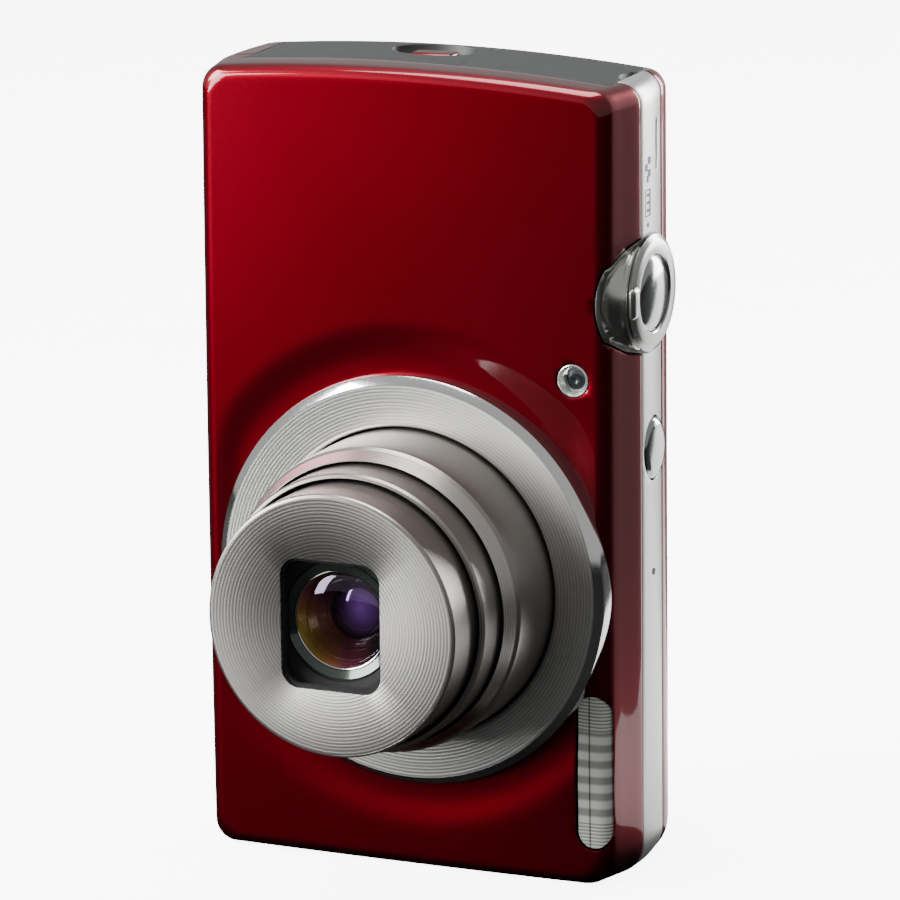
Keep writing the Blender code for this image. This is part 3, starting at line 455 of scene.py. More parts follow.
def make_looks():
    """Every finish of the object, by name."""
    lens = (LENS_X, 0, LENS_Z)
    return {
        "red": red_paint_look(),
        "silver": plain_look("silver_paint", (0.60, 0.61, 0.59), 0.34, 0.85, scale=1500, vary=0.03, bump=0.02),
        "chrome": plain_look("chrome", (0.75, 0.75, 0.74), 0.14, 1.0, vary=0.03, bump=0.03),
        "grey": plain_look("grey_plastic", (0.022, 0.025, 0.024), 0.5, 0.1, scale=2500, vary=0.1, bump=0.3),
        "ring": brushed_look("turned_ring", (0.76, 0.75, 0.73), 0.36, lens, depth=0.6),
        "mirror_cut": plain_look("mirror_cut", (0.86, 0.86, 0.85), 0.12, 1.0, vary=0.02, bump=0.02),
        "face": brushed_look("turned_face", (0.44, 0.43, 0.415), 0.38, lens, depth=0.6),
        "barrel": plain_look("satin_barrel", (0.30, 0.28, 0.265), 0.32, 0.9, scale=2200, vary=0.08, bump=0.12),
        "black": plain_look("black_plastic", (0.012, 0.012, 0.013), 0.45, 0.0, scale=2000, vary=0.3, bump=0.3),
        "matt_black": plain_look("matt_black", (0.005, 0.005, 0.005), 0.85, 0.0, scale=2000, vary=0.3, bump=0.1),
        "gloss_black": plain_look("gloss_black", (0.01, 0.01, 0.012), 0.12, 0.0, vary=0.2, bump=0.02, coat=1.0),
        "brass": plain_look("brass", (0.55, 0.42, 0.17), 0.3, 1.0, vary=0.1),
        "steel": plain_look("steel", (0.5, 0.5, 0.49), 0.28, 1.0, scale=1800, vary=0.08),
        "board": plain_look("solder_mask", (0.015, 0.10, 0.04), 0.4, 0.0, vary=0.25),
        "print_dark": plain_look("print_dark", (0.05, 0.055, 0.06), 0.5, 0.0),
        "print_blue": plain_look("print_blue", (0.06, 0.12, 0.22), 0.45, 0.0),
        "label": plain_look("cell_wrap", (0.05, 0.06, 0.08), 0.45, 0.0, vary=0.2),
    }


# The body's outer form

def body_rings():
    """(y, side inset, end inset) of the rings from the middle of the front to the middle of the back."""
    rings = [(FRONT, inset * MM, (inset - 1) * MM) for inset in range(26, 2, -1)]
    edge, end_edge, crease, lean = 2.8 * MM, 1.5 * MM, 1.7 * MM, math.radians(10)
    for k in range(9):
        turn = (math.pi / 2 - lean) * k / 8
        rings.append((FRONT + crease * (1 - math.cos(turn)), edge - crease * math.sin(turn),
                      end_edge - 0.8 * crease * math.sin(turn)))
    y_end, side_end, top_end = rings[-1]
    for share in (0.2, 0.4, 0.6, 0.8, 0.95):
        rings.append((y_end + (BAND_FRONT - y_end) * share, side_end * (1 - share), top_end * (1 - share)))
    reach = BAND_REAR - BAND_FRONT - CROWN_BACK
    for k in range(9):
        y = BAND_FRONT + (BAND_REAR - BAND_FRONT) * k / 8
        rings.append((y, SIDE_CROWN * ((y - BAND_FRONT - CROWN_BACK) / reach) ** 2, 0))
    deep, come_in = BACK - BAND_REAR, 5.0 * MM
    for k in range(1, 13):
        turn = math.pi / 2 * k / 12
        inset = come_in * (1 - math.cos(turn))
        rings.append((BAND_REAR + deep * math.sin(turn), SIDE_CROWN + inset, inset * 0.6))
    rings += [(BACK, inset * MM, (inset - 1.5) * MM) for inset in (6.5, 9, 13, 18, 24)]
    return rings


def smooth_step(value, low, high):
    share = min(1, max(0, (value - low) / (high - low)))
    return share * share * (3 - 2 * share)


def shaped(point):
    """Where a point of the plain form goes: crowned front and end, and a dished band round the lens."""
    x, y, z = point
    near_front = 1 - smooth_step(y, FRONT + 1.5 * MM, BAND_FRONT)
    y += near_front * FRONT_CROWN * ((x / HALF) ** 2 + 0.8 * ((z - MIDDLE_Z) / MIDDLE_Z) ** 2)
    away = math.hypot(x - LENS_X, z - LENS_Z)
    dish = 1 - smooth_step(away, RING_RADIUS + 1.5 * MM, RING_RADIUS + 6 * MM)
    fade = 1 - smooth_step(abs(x), HALF - 6 * MM, HALF - 2.5 * MM)
    y += near_front * 0.4 * MM * dish * fade
    z += (END_RISE - END_CROWN * (x / HALF) ** 2) * smooth_step(z, MIDDLE_Z, LENGTH)
    return x, y, z


def body_form(name, drawn_in=0.0, fine=True):
    """The whole outer form: a rounded outline, extruded and resized ring by ring."""
    deselect()
    bpy.ops.mesh.primitive_plane_add(size=1, location=(0, FRONT, MIDDLE_Z), rotation=(math.pi / 2, 0, 0))
    obj = placed(name, (2 * HALF, LENGTH, 1))
    edit(obj)
    for side, end, radius in ((1, 1, 2.2 * MM), (1, -1, 4.0 * MM), (-1, 1, 2.6 * MM), (-1, -1, 2.6 * MM)):
        choose(obj, "verts", lambda at, v: at.x * side > 0.02 and (at.z - MIDDLE_Z) * end > 0.04)
        bpy.ops.mesh.bevel(offset=radius, segments=8 if fine else 4, affect="VERTICES")
    for upright, cuts in ((True, 90), (False, 44)):
        choose(obj, "edges", lambda at, e: e.calc_length() > 0.02
               and (abs((e.verts[0].co - e.verts[1].co).z) > 0.02) == upright)
        bpy.ops.mesh.subdivide(number_cuts=cuts if fine else 6)
    bpy.ops.mesh.select_mode(type="FACE")
    bpy.ops.mesh.select_all(action="SELECT")
    rings = body_rings()
    if not fine:
        rings = rings[::3] + [rings[-1]]
    before_y, before_in, before_end = FRONT, 0.0, 0.0
    for number, (y, inset, end_inset) in enumerate(rings):
        share = (y - FRONT) / (BACK - FRONT)
        y += drawn_in * (1 - 2 * share)
        inset = min(inset + drawn_in, HALF - 0.5 * MM)
        end_inset += drawn_in
        move = {"value": (0, y - before_y, 0)}
        if number:
            bpy.ops.mesh.extrude_region_move(TRANSFORM_OT_translate=move)
        else:
            bpy.ops.transform.translate(**move)
        scale = ((HALF - inset) / (HALF - before_in), 1, (MIDDLE_Z - end_inset) / (MIDDLE_Z - before_end))
        bpy.ops.transform.resize(value=scale, center_override=(0, y, MIDDLE_Z))
        before_y, before_in, before_end = y, inset, end_inset
    close_up(obj)
    for vert in obj.data.vertices:
        vert.co = shaped(vert.co)
    edit(obj, everything=True)
    bpy.ops.mesh.quads_convert_to_tris(quad_method="SHORTEST_DIAGONAL", ngon_method="BEAUTY")
    return close_up(obj)


def copy_of(obj, name):
    """A copy with its own mesh."""
    twin = obj.copy()
    twin.data = obj.data.copy()
    twin.name = name
    bpy.context.scene.collection.objects.link(twin)
    return twin


def sunk_copy(name, depth):
    """The outer form drawn in by depth at its front and sides."""
    twin = copy_of(BODY, name)
    edit(twin, everything=True)
    bpy.ops.transform.resize(value=(1 - depth / HALF, 1 - depth / BACK, 1 - depth / MIDDLE_Z),
                             center_override=(0, 0, MIDDLE_Z))
    deselect()
    return twin


def shell(name, region, *holes, sunk=None):
    """The part of the body's shell inside region, with holes cut through it."""
    piece = copy_of(sunk or BODY, name)
    combine(piece, "INTERSECT", region)
    cut(piece, copy_of(INSIDE, name + "_inside"), *holes)
    return piece


def kept_inside(obj):
    """Trims a hinge barrel to the outer form."""
    return combine(obj, "INTERSECT", copy_of(SUNK_BODY, obj.name + "_limit"))


def stretched(obj):
    """Lengthens a round piece of the power button along the camera."""
    edit(obj, everything=True)
    bpy.ops.transform.resize(value=(1, 1, KEY_STRETCH), center_override=(0, POWER_Y, POWER_Z))
    take(obj)
    return obj


def fine_edges(obj, width=0.1 * MM):
    """Takes the sharpness off the piece's cut edges."""
    return modify(obj, "BEVEL", width=width, segments=2, limit_method="ANGLE", angle_limit=math.radians(50),
                  use_clamp_overlap=True)


def stadium(name, low, high, round_off, grow=0.0):
    """A block with its corners rounded as seen from the front."""
    low, high = Vector(low), Vector(high)
    margin = Vector((grow, 0, grow))
    return block(name, low - margin, high + margin, round_off, 10, along=1)


def scoop_prism(name, shrink=0.0):
    """Wedge that narrows to the front with an arched inner end: the scoop beside the shutter dial."""
    half_angle = math.radians(26)
    tip = FRONT - 8.0 * MM + shrink / math.sin(half_angle)
    reach = 21 * MM
    deselect()
    bpy.ops.mesh.primitive_circle_add(vertices=3, radius=1, fill_type="NGON", location=(HALF - 6 * MM, 0, DIAL_Z),
                                      rotation=(0, math.pi / 2, 0))
    obj = placed(name)
    wide = reach * math.tan(half_angle)
    corners = ((tip, 0), (tip + reach, wide), (tip + reach, -wide))
    for vert, (y, z) in zip(obj.data.vertices, corners):
        vert.co = (HALF - 6 * MM, y, DIAL_Z + z)
    edit(obj, everything=True)
    bpy.ops.mesh.extrude_region_move(TRANSFORM_OT_translate={"value": (12 * MM, 0, 0)})
    close_up(obj)
    long_half, low_end = 20 * MM, HALF - 2.9 * MM
    deselect()
    bpy.ops.mesh.primitive_cylinder_add(vertices=256, radius=1, depth=0.2, rotation=(math.pi / 2, 0, 0),
                                        location=(low_end + long_half, 0, DIAL_Z))
    arch = placed(name + "_arch", (long_half - shrink, 13.2 * MM - shrink, 1))
    return combine(obj, "INTERSECT", arch)


# Shells

def front_shell():
    """Red front cover with its openings."""
    region = block("front_region", (-FAR, -FAR, -FAR), (FAR, BAND_FRONT - SEAM, FAR))
    cut(region, block("end_notch", (END_LOW.x, END_LOW.y - SEAM, LENGTH - 6 * MM), (END_HIGH_X + SEAM, 0, FAR)))
    opening = RING_RADIUS - 1.7 * MM
    ring_hole = turned("ring_hole", [(0, -FAR), (opening, -FAR), (opening, 0), (0, 0)])
    flash_hole = stadium("flash_hole", (FLASH_LOW.x, -FAR, FLASH_LOW.z), (FLASH_HIGH.x, -4 * MM, FLASH_HIGH.z),
                         FLASH_HALF + 0.2 * MM, 0.25 * MM)
    lamp_hole = turned("lamp_hole", [(0, -FAR), (LAMP_RADIUS + 0.12 * MM, -FAR),
                                     (LAMP_RADIUS + 0.12 * MM, -3 * MM), (0, -3 * MM)],
                       centre=(LAMP_X, 0, LAMP_Z), steps=64)
    piece = shell("front_cover_shell", region, ring_hole, flash_hole, lamp_hole, scoop_prism("scoop_hole", -SEAM))
    fine_edges(piece)
    settle(piece, "camera_body", "red", "red_paint", "front_cover")


def rear_shell():
    """Red rear cover and the screen glass."""
    region = block("rear_region", (-FAR, BAND_REAR + SEAM, -FAR), (FAR, FAR, FAR))
    cut(region, block("base_notch", (-FAR, 0, -FAR), (END_LOW.x, BASE_REAR + SEAM, FAR)),
        block("end_notch", (END_LOW.x - 0.5 * MM, 0, LENGTH - 6 * MM), (END_HIGH_X + SEAM, END_HIGH.y + SEAM, FAR)))
    glass = (GLASS_LOW.x, 0, GLASS_LOW.z), (GLASS_HIGH.x, FAR, GLASS_HIGH.z)
    holes = [stadium("glass_hole", *glass, 1 * MM, 0.12 * MM)]
    for key in ("movie_button", "playback_button", "menu_button", "pad_ring"):
        low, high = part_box(key)
        radius = (high.x - low.x) / 2 - (0.7 * MM if key != "pad_ring" else 0)
        holes.append(turned(key + "_hole", [(0, 0), (radius + 0.3 * MM, 0), (radius + 0.3 * MM, FAR), (0, FAR)],
                            centre=((low.x + high.x) / 2, 0, (low.z + high.z) / 2), steps=64))
    piece = shell("rear_cover_shell", region, *holes)
    fine_edges(piece)
    settle(piece, "camera_body", "red", "red_paint", "rear_cover", even=True)
    pane = shell("screen_pane", stadium("pane_region", *glass, 0.9 * MM))
    fine_edges(pane)
    settle(pane, "camera_body", "screen", "screen", "screen_glass", even=True)


def silver_strip():
    """Silver panel of the top and the standing end, with the power button's hole and the sound slot."""
    region = block("strip_region", (END_HIGH_X + SEAM, BAND_FRONT + SEAM, -FAR),
                   (FAR, BAND_REAR - SEAM, LENGTH - 0.4 * MM))
    join(region, block("foot_region", (END_LOW.x, BAND_FRONT + SEAM, -FAR), (FAR, BAND_REAR - SEAM, 3 * MM)))
    power_hole = turned("power_hole", [(0, HALF - 4 * MM), (POWER_RADIUS + 0.2 * MM, HALF - 4 * MM),
                                       (POWER_RADIUS + 0.2 * MM, FAR), (0, FAR)], "X", (0, POWER_Y, POWER_Z), 64)
    stretched(power_hole)
    slot = block("slot", (HALF - 5 * MM, 1.5 * MM, 83.7 * MM), (FAR, 2.5 * MM, 89.6 * MM), 0.4 * MM, 4, along=0)
    floor = block("slot_floor", (HALF - 1.6 * MM, 1.3 * MM, 83.5 * MM), (HALF - 0.75 * MM, 2.7 * MM, 89.8 * MM))
    settle(floor, "camera_body", "seat", "black_plastic")
    piece = shell("silver_strip", region, power_hole, slot)
    fine_edges(piece)
    settle(piece, "camera_body", "silver", "silver", "top_panel")


def scoop_bezel():
    """Bright bezel beside the dial: a narrow rim, and a hollow that flares up to the dial's seat."""
    bezel = copy_of(BODY, "scooped_bezel")
    limit = block("bezel_limit", (-FAR, BAND_FRONT + SEAM + 0.1 * MM, -FAR), (FAR, FAR, FAR))
    wedge = cut(scoop_prism("bezel_outline", SEAM), copy_of(limit, "limit_copy"))
    combine(bezel, "INTERSECT", wedge)
    cut(bezel, scoop_prism("hollow_outline", 0.65 * MM))
    reach = DIAL_RADIUS + 0.22 * MM
    flare = [(0, HALF - 5.9 * MM), (12 * MM, HALF - 5.9 * MM), (12 * MM, HALF - 2.5 * MM)]
    for k in range(11):
        turn = math.pi / 2 * k / 10
        flare.append((reach + 3.0 * MM * (1 - math.sin(turn)), HALF - 0.5 * MM - 1.9 * MM * math.cos(turn)))
    flare += [(reach, HALF - 0.02 * MM), (reach - 0.2 * MM, HALF + 0.12 * MM), (BUTTON_RADIUS + 0.4 * MM, HALF + 0.12 * MM),
              (BUTTON_RADIUS + 0.4 * MM, HALF - 0.9 * MM), (0, HALF - 0.9 * MM)]
    seat = turned("flare", flare, "X", (0, DIAL_Y, DIAL_Z), 160)
    inner = cut(scoop_prism("seat_outline", 0.62 * MM), limit)
    combine(seat, "INTERSECT", inner)
    join(bezel, seat)
    fine_edges(bezel, 0.15 * MM)
    settle(bezel, "camera_body", "bezel", "silver", "shutter_bezel", smooth=40)


def base_and_end():
    """Red base panel and door, grey end panel and its flap."""
    region = block("base_region", (-FAR, BAND_FRONT + SEAM, -FAR), (END_LOW.x - SEAM, BASE_REAR - SEAM, FAR))
    cut(region, block("door_space", (-FAR, -FAR, DOOR_LOW.z - 2 * SEAM), (-HALF + 3 * MM, FAR, DOOR_HIGH.z + 2 * SEAM)))
    socket = (0, (SOCKET_LOW.y + SOCKET_HIGH.y) / 2, (SOCKET_LOW.z + SOCKET_HIGH.z) / 2)
    mouth = 3.4 * MM
    holes = [turned("socket_hole", [(0, -FAR), (mouth, -FAR), (mouth, -HALF + 4 * MM), (0, -HALF + 4 * MM)],
                    "X", socket, 64)]
    low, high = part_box("base_screw_1")
    screw = (0, (low.y + high.y) / 2, (low.z + high.z) / 2)
    holes.append(turned("screw_hole", [(0, -FAR), (1.5 * MM, -FAR), (1.5 * MM, -HALF + 4 * MM),
                                       (0, -HALF + 4 * MM)], "X", screw, 48))
    base = shell("base_shell", region, *holes)
    fine_edges(base)
    settle(base, "camera_body", "red", "red_paint", "base_panel", even=True)
    door_region = block("door_region", (-FAR, BAND_FRONT + SEAM, DOOR_LOW.z), (-HALF + 3 * MM, BASE_REAR - SEAM,
                                                                            DOOR_HIGH.z))
    low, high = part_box("battery_latch")
    door = shell("door_shell", door_region, block("latch_hole", (-FAR, low.y - 0.3 * MM, low.z - 0.3 * MM),
                                                  (high.x + 2 * MM, high.y + 0.3 * MM, high.z + 2.3 * MM)))
    fine_edges(door)
    join(door, kept_inside(turned("door_knuckle", [(0, DOOR_LOW.z + 0.2 * MM), (KNUCKLE, DOOR_LOW.z + 0.2 * MM),
                                       (KNUCKLE, DOOR_HIGH.z - 0.2 * MM), (0, DOOR_HIGH.z - 0.2 * MM)], "Z",
                      (-HALF + KNUCKLE + SEAM, BAND_FRONT + KNUCKLE + 3 * SEAM, 0), 32)))
    settle(door, "battery_door", "red", "red_paint", "battery_door")
    latch = block("latch_slider", (-HALF + 0.12 * MM, low.y, low.z), (high.x, high.y, high.z), 0.3 * MM)
    ridge = 0.35 * MM
    for number in range(4):
        z = low.z + 0.8 * MM + number * 0.65 * MM
        join(latch, block("latch_ridge", (-HALF - 0.05 * MM, low.y + ridge, z), (-HALF + 0.4 * MM, high.y - ridge,
                                                                             z + ridge), 0.08 * MM))
    settle(latch, "battery_latch", "black", "grey_plastic", "battery_latch")

    middle = FLAP_LOW.x
    end_region = block("end_region", (END_LOW.x + SEAM, END_LOW.y + SEAM, LENGTH - 5.5 * MM),
                       (middle - SEAM / 2, END_HIGH.y - SEAM, FAR))
    deselect()
    bpy.ops.mesh.primitive_uv_sphere_add(segments=64, ring_count=32, radius=1,
                                         location=(STRAP_X - 0.4 * MM, 1.9 * MM, END_TOP + 0.4 * MM))
    dish = placed("strap_dish", (5.4 * MM, 3.5 * MM, 3.4 * MM))
    end = shell("end_shell", end_region, dish)
    fine_edges(end)
    settle(end, "camera_body", "grey", "grey_plastic", "end_panel")
    flap_region = block("flap_region", (middle + SEAM / 2, END_LOW.y + SEAM, LENGTH - 5.5 * MM),
                        (FLAP_HIGH.x, END_HIGH.y - SEAM, FAR))
    nail = turned("nail_notch", [(0, FLAP_HIGH.x - 1.6 * MM), (2.6 * MM, FLAP_HIGH.x - 0.4 * MM),
                                 (3.2 * MM, FLAP_HIGH.x + 1 * MM), (0, FLAP_HIGH.x + 1 * MM)],
                  "X", (0, 0.6 * MM, END_TOP + 0.2 * MM), 48)
    flap = shell("flap_shell", flap_region, nail)
    fine_edges(flap)
    join(flap, kept_inside(turned("flap_knuckle", [(0, END_LOW.y + 3 * SEAM), (KNUCKLE, END_LOW.y + 3 * SEAM),
                                       (KNUCKLE, END_HIGH.y - 3 * SEAM), (0, END_HIGH.y - 3 * SEAM)], "Y",
                      (middle + KNUCKLE, 0, LENGTH - KNUCKLE - 2 * SEAM), 32)))
    settle(flap, "terminal_flap", "grey", "grey_plastic", "terminal_flap")


def strap_cup():
    """Dished cup under the end panel and the red bar across it."""
    deselect()
    bpy.ops.mesh.primitive_uv_sphere_add(segments=64, ring_count=32, radius=1,
                                         location=(STRAP_X - 0.4 * MM, 1.9 * MM, END_TOP + 0.4 * MM))
    cup = placed("strap_cup", (5.6 * MM, 3.7 * MM, 3.6 * MM))
    edit(cup, everything=True)
    bpy.ops.mesh.bisect(plane_co=(0, 0, END_TOP - 0.5 * MM), plane_no=(0, 0, 1), clear_outer=True)
    take(cup)
    modify(cup, "SOLIDIFY", thickness=0.4 * MM, offset=1)
    close_up(cup)
    settle(cup, "camera_body", "grey", "grey_plastic", "strap_bar")
    deselect()
    top = END_TOP - 0.25 * MM
    bar = block("strap_staple", (STRAP_X - 3.2 * MM, 0.5 * MM, top - 1.3 * MM), (STRAP_X + 2.2 * MM, 3.5 * MM, top), 0.5 * MM, 4)
    for side in (-1, 1):
        join(bar, block("staple_leg", (STRAP_X + (side * 2.1 - 1.0) * MM, 1.3 * MM, top - 4 * MM),
                        (STRAP_X + side * 2.1 * MM, 2.7 * MM, top - 0.6 * MM), 0.25 * MM))
    settle(bar, "camera_body", "red", "red_paint")


# Lens

def trim_ring():
    """Turned ring round the lens: brushed face, mirror-cut bevel and dark side."""
    bore = (OUTER_HIGH.x - OUTER_LOW.x) / 2 + 0.3 * MM
    y = RING_FRONT
    cut_in, cut_deep = 1.0 * MM, 0.55 * MM
    face = [(bore, y + 2.4 * MM), (bore, y + 0.28 * MM), (bore + 0.16 * MM, y + 0.1 * MM), (bore + 0.4 * MM, y),
            (RING_RADIUS - cut_in, y), (RING_RADIUS - cut_in, y + 2.4 * MM), (bore, y + 2.4 * MM)]
    settle(turned("ring_face", face, steps=192), "camera_body", "ring", "brushed_metal", "lens_ring",
           smooth=20)
    bevel = [(RING_RADIUS - cut_in + 0.01 * MM, y + 0.02 * MM), (RING_RADIUS - 0.3 * MM, y + cut_deep),
             (RING_RADIUS - 0.08 * MM, y + cut_deep + 0.22 * MM), (RING_RADIUS, y + cut_deep + 0.5 * MM),
             (RING_RADIUS, y + 5.4 * MM), (RING_RADIUS - cut_in + 0.01 * MM, y + 5.4 * MM),
             (RING_RADIUS - cut_in + 0.01 * MM, y + 0.02 * MM)]
    settle(turned("ring_bevel", bevel, steps=192), "camera_body", "mirror_cut", "brushed_metal", smooth=25)


def tube(name, low, high, inner, front_profile, look, slot, body, *nodes, grooves=()):
    """A barrel: its front's own profile, then its wall, rear and bore."""
    radius = front_profile[-1][0]
    profile = [(inner, high.y), (inner, front_profile[0][1] + 0.4 * MM)] + front_profile
    for at in grooves:
        profile += [(radius, at), (radius - 0.12 * MM, at + 0.08 * MM), (radius - 0.12 * MM, at + 0.22 * MM),
                    (radius, at + 0.3 * MM)]
    profile += [(radius, high.y), (inner, high.y)]
    return settle(turned(name, profile, steps=192), body, look, slot, *nodes, smooth=22)


def barrels():
    """Outer, middle and inner barrels; the outer's front is a brushed cone."""
    y = OUTER_LOW.y
    radius = (OUTER_HIGH.x - OUTER_LOW.x) / 2
    cone = [(radius - 1.35 * MM, y + 0.12 * MM), (radius - 1.2 * MM, y), (radius - 0.42 * MM, y + 1.9 * MM)]
    settle(turned("outer_cone", [(radius - 1.35 * MM, y + 3 * MM)] + cone + [
        (radius - 0.42 * MM, y + 3 * MM), (radius - 1.35 * MM, y + 3 * MM)], steps=192),
        "outer_barrel", "cone", "barrel_finish", smooth=22)
    front = [(radius - 0.41 * MM, y + 1.92 * MM), (radius - 0.12 * MM, y + 2.35 * MM), (radius, y + 3.0 * MM)]
    tube("outer_tube", OUTER_LOW, OUTER_HIGH, radius - 1.34 * MM, front, "barrel", "barrel_finish",
         "outer_barrel", "outer_barrel")
    y = MIDDLE_LOW.y
    radius = (MIDDLE_HIGH.x - MIDDLE_LOW.x) / 2 - 0.33 * MM
    front = [(radius - 0.6 * MM, y + 0.1 * MM), (radius - 0.5 * MM, y), (radius - 0.18 * MM, y + 0.06 * MM),
             (radius, y + 0.45 * MM)]
    tube("middle_tube", MIDDLE_LOW, MIDDLE_HIGH, radius - 0.62 * MM, front, "barrel", "barrel_finish",
         "middle_barrel", "middle_barrel")
    y = INNER_LOW.y
    radius = (INNER_HIGH.x - INNER_LOW.x) / 2 - 0.33 * MM
    front = [(radius - 0.3 * MM, y + 0.03 * MM), (radius - 0.12 * MM, y + 0.1 * MM), (radius, y + 0.35 * MM)]
    tube("inner_tube", INNER_LOW, INNER_HIGH, radius - 0.9 * MM, front, "barrel", "brushed_metal",
         "inner_barrel", "inner_barrel")


def lens_face():
    """Turned front disc with its window, and the black frame behind the window's edge."""
    y = INNER_LOW.y
    radius = (INNER_HIGH.x - INNER_LOW.x) / 2 - 0.33 * MM - 0.28 * MM
    disc = turned("lens_disc", [(0, y), (radius - 0.1 * MM, y), (radius, y + 0.06 * MM), (radius, y + 0.95 * MM),
                                (0, y + 0.95 * MM)], steps=192)
    window = stadium("window_hole", (LENS_X - 6.25 * MM, -FAR, LENS_Z - 7.65 * MM),
                     (LENS_X + 6.25 * MM, 0, LENS_Z + 7.65 * MM), 2.2 * MM)
    cut(disc, window)
    modify(disc, "BEVEL", width=0.12 * MM, segments=2, limit_method="ANGLE", angle_limit=math.radians(60))
    settle(disc, "inner_barrel", "face", "brushed_metal", "lens_face_plate", smooth=25)
    frame_piece = block("window_frame", (LENS_X - 6.6 * MM, y + 0.5 * MM, LENS_Z - 8.0 * MM),
                        (LENS_X + 6.6 * MM, y + 1.2 * MM, LENS_Z + 8.0 * MM), 2.3 * MM, 8, along=1)
    cut(frame_piece, stadium("frame_hole", (LENS_X - 5.95 * MM, -FAR, LENS_Z - 7.3 * MM),
                             (LENS_X + 5.95 * MM, 0, LENS_Z + 7.3 * MM), 2.0 * MM))
    settle(frame_piece, "inner_barrel", "matt_black", "black_plastic")


def lens_inside():
    """Stepped baffle, retaining rings, coated front element and the dark glass behind it."""
    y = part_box("blade_carrier")[0].y
    r = 14.0 * MM
    steps = [(r, y + 0.6 * MM), (r, y), (8.2 * MM, y), (7.9 * MM, y + 0.12 * MM), (7.2 * MM, y + 0.5 * MM),
             (7.1 * MM, y + 0.9 * MM), (6.85 * MM, y + 0.9 * MM), (6.85 * MM, y + 1.9 * MM), (8 * MM, y + 1.9 * MM),
             (8 * MM, y + 0.6 * MM), (r, y + 0.6 * MM)]
    settle(turned("lens_baffle", steps), "inner_barrel", "matt_black", "black_plastic", "blade_carrier",
           smooth=25)
    g = y + 0.75 * MM
    outer_ring = [(6.85 * MM, g), (6.3 * MM, g + 0.22 * MM), (5.95 * MM, g + 0.35 * MM), (5.85 * MM, g + 0.9 * MM),
                  (6.85 * MM, g + 0.9 * MM), (6.85 * MM, g)]
    settle(turned("green_ring", outer_ring), "inner_barrel", "green_glass", "lens_glass", smooth=40)
    bright = [(5.86 * MM, g + 0.30 * MM), (5.78 * MM, g + 0.22 * MM), (5.68 * MM, g + 0.26 * MM),
              (5.66 * MM, g + 0.5 * MM), (5.86 * MM, g + 0.5 * MM), (5.86 * MM, g + 0.30 * MM)]
    settle(turned("bright_ring", bright), "inner_barrel", "chrome", "brushed_metal", smooth=50)
    wall = [(5.66 * MM, g + 0.4 * MM), (4.95 * MM, g + 1.5 * MM), (4.86 * MM, g + 1.45 * MM),
            (4.80 * MM, g + 1.6 * MM), (4.2 * MM, g + 2.7 * MM), (4.12 * MM, g + 2.64 * MM),
            (4.06 * MM, g + 2.8 * MM), (3.5 * MM, g + 4.0 * MM), (3.42 * MM, g + 3.92 * MM),
            (3.25 * MM, g + 4.2 * MM), (3.2 * MM, g + 4.9 * MM), (5.9 * MM, g + 4.9 * MM),
            (5.9 * MM, g + 0.4 * MM), (5.66 * MM, g + 0.4 * MM)]
    settle(turned("lens_throat", wall), "inner_barrel", "throat_reflection", "lens_glass", "front_lens_cell",
           smooth=18)
    bulge = [(3.3 * MM * math.sin(k * 0.15), g + 4.9 * MM - 0.9 * MM * math.cos(k * 0.15)) for k in range(11)]
    bulge[0] = (0, bulge[0][1])
    settle(turned("deep_glass", bulge + [(0, g + 5.2 * MM)]), "inner_barrel", "violet_glass", "lens_glass",
           "front_lens", smooth=60)
    dome = [(5.64 * MM * math.sin(k * 0.157), g + 1.0 * MM - 0.95 * MM * math.cos(k * 0.157)) for k in range(11)]
    dome[0] = (0, dome[0][1])
    settle(turned("front_element", dome), "inner_barrel", "coated_glass", "lens_glass", smooth=60)


# Flash, lamp and controls

def flash_piece():
    """Clear window of the flash, sunk a little into the cover."""
    low_z, high_z = FLASH_LOW.z, FLASH_HIGH.z
    window = shell("flash_pane", stadium("pane", (FLASH_LOW.x, -FAR, low_z), (FLASH_HIGH.x, -4 * MM, high_z),
                                         FLASH_HALF), sunk=SUNK_BODY)
    settle(window, "camera_body", "flash", "clear_window", "flash_window")


def focus_lamp():
    """Small round lamp: bright cone, and a dark lens with a bead in it."""
    y = FRONT + 0.32 * MM
    centre = (LAMP_X, 0, LAMP_Z)
    r = LAMP_RADIUS
    cone = [(r, y + 1.2 * MM), (r, y), (r - 0.1 * MM, y - 0.04 * MM), (r - 0.62 * MM, y + 0.75 * MM),
            (r - 0.62 * MM, y + 1.2 * MM), (r, y + 1.2 * MM)]
    settle(turned("lamp_cone", cone, centre=centre, steps=96), "camera_body", "lamp_rim", "clear_window",
           "focus_lamp_window")
    dome = [((r - 0.15 * MM) * math.sin(k * 0.157), y + 0.42 * MM - 0.3 * MM * math.cos(k * 0.157))
            for k in range(11)]
    dome[0] = (0, dome[0][1])
    settle(turned("lamp_lens", dome, centre=centre, steps=96), "camera_body", "lamp_glass", "clear_window",
           smooth=60)
    seat = [(0, y + 1.0 * MM), (0.5 * MM, y + 0.6 * MM), (0.7 * MM, y + 0.9 * MM), (r, y + 1.1 * MM),
            (r, y + 1.3 * MM), (0, y + 1.3 * MM)]
    settle(turned("lamp_seat", seat, centre=centre, steps=96), "camera_body", "lamp_dark", "clear_window")


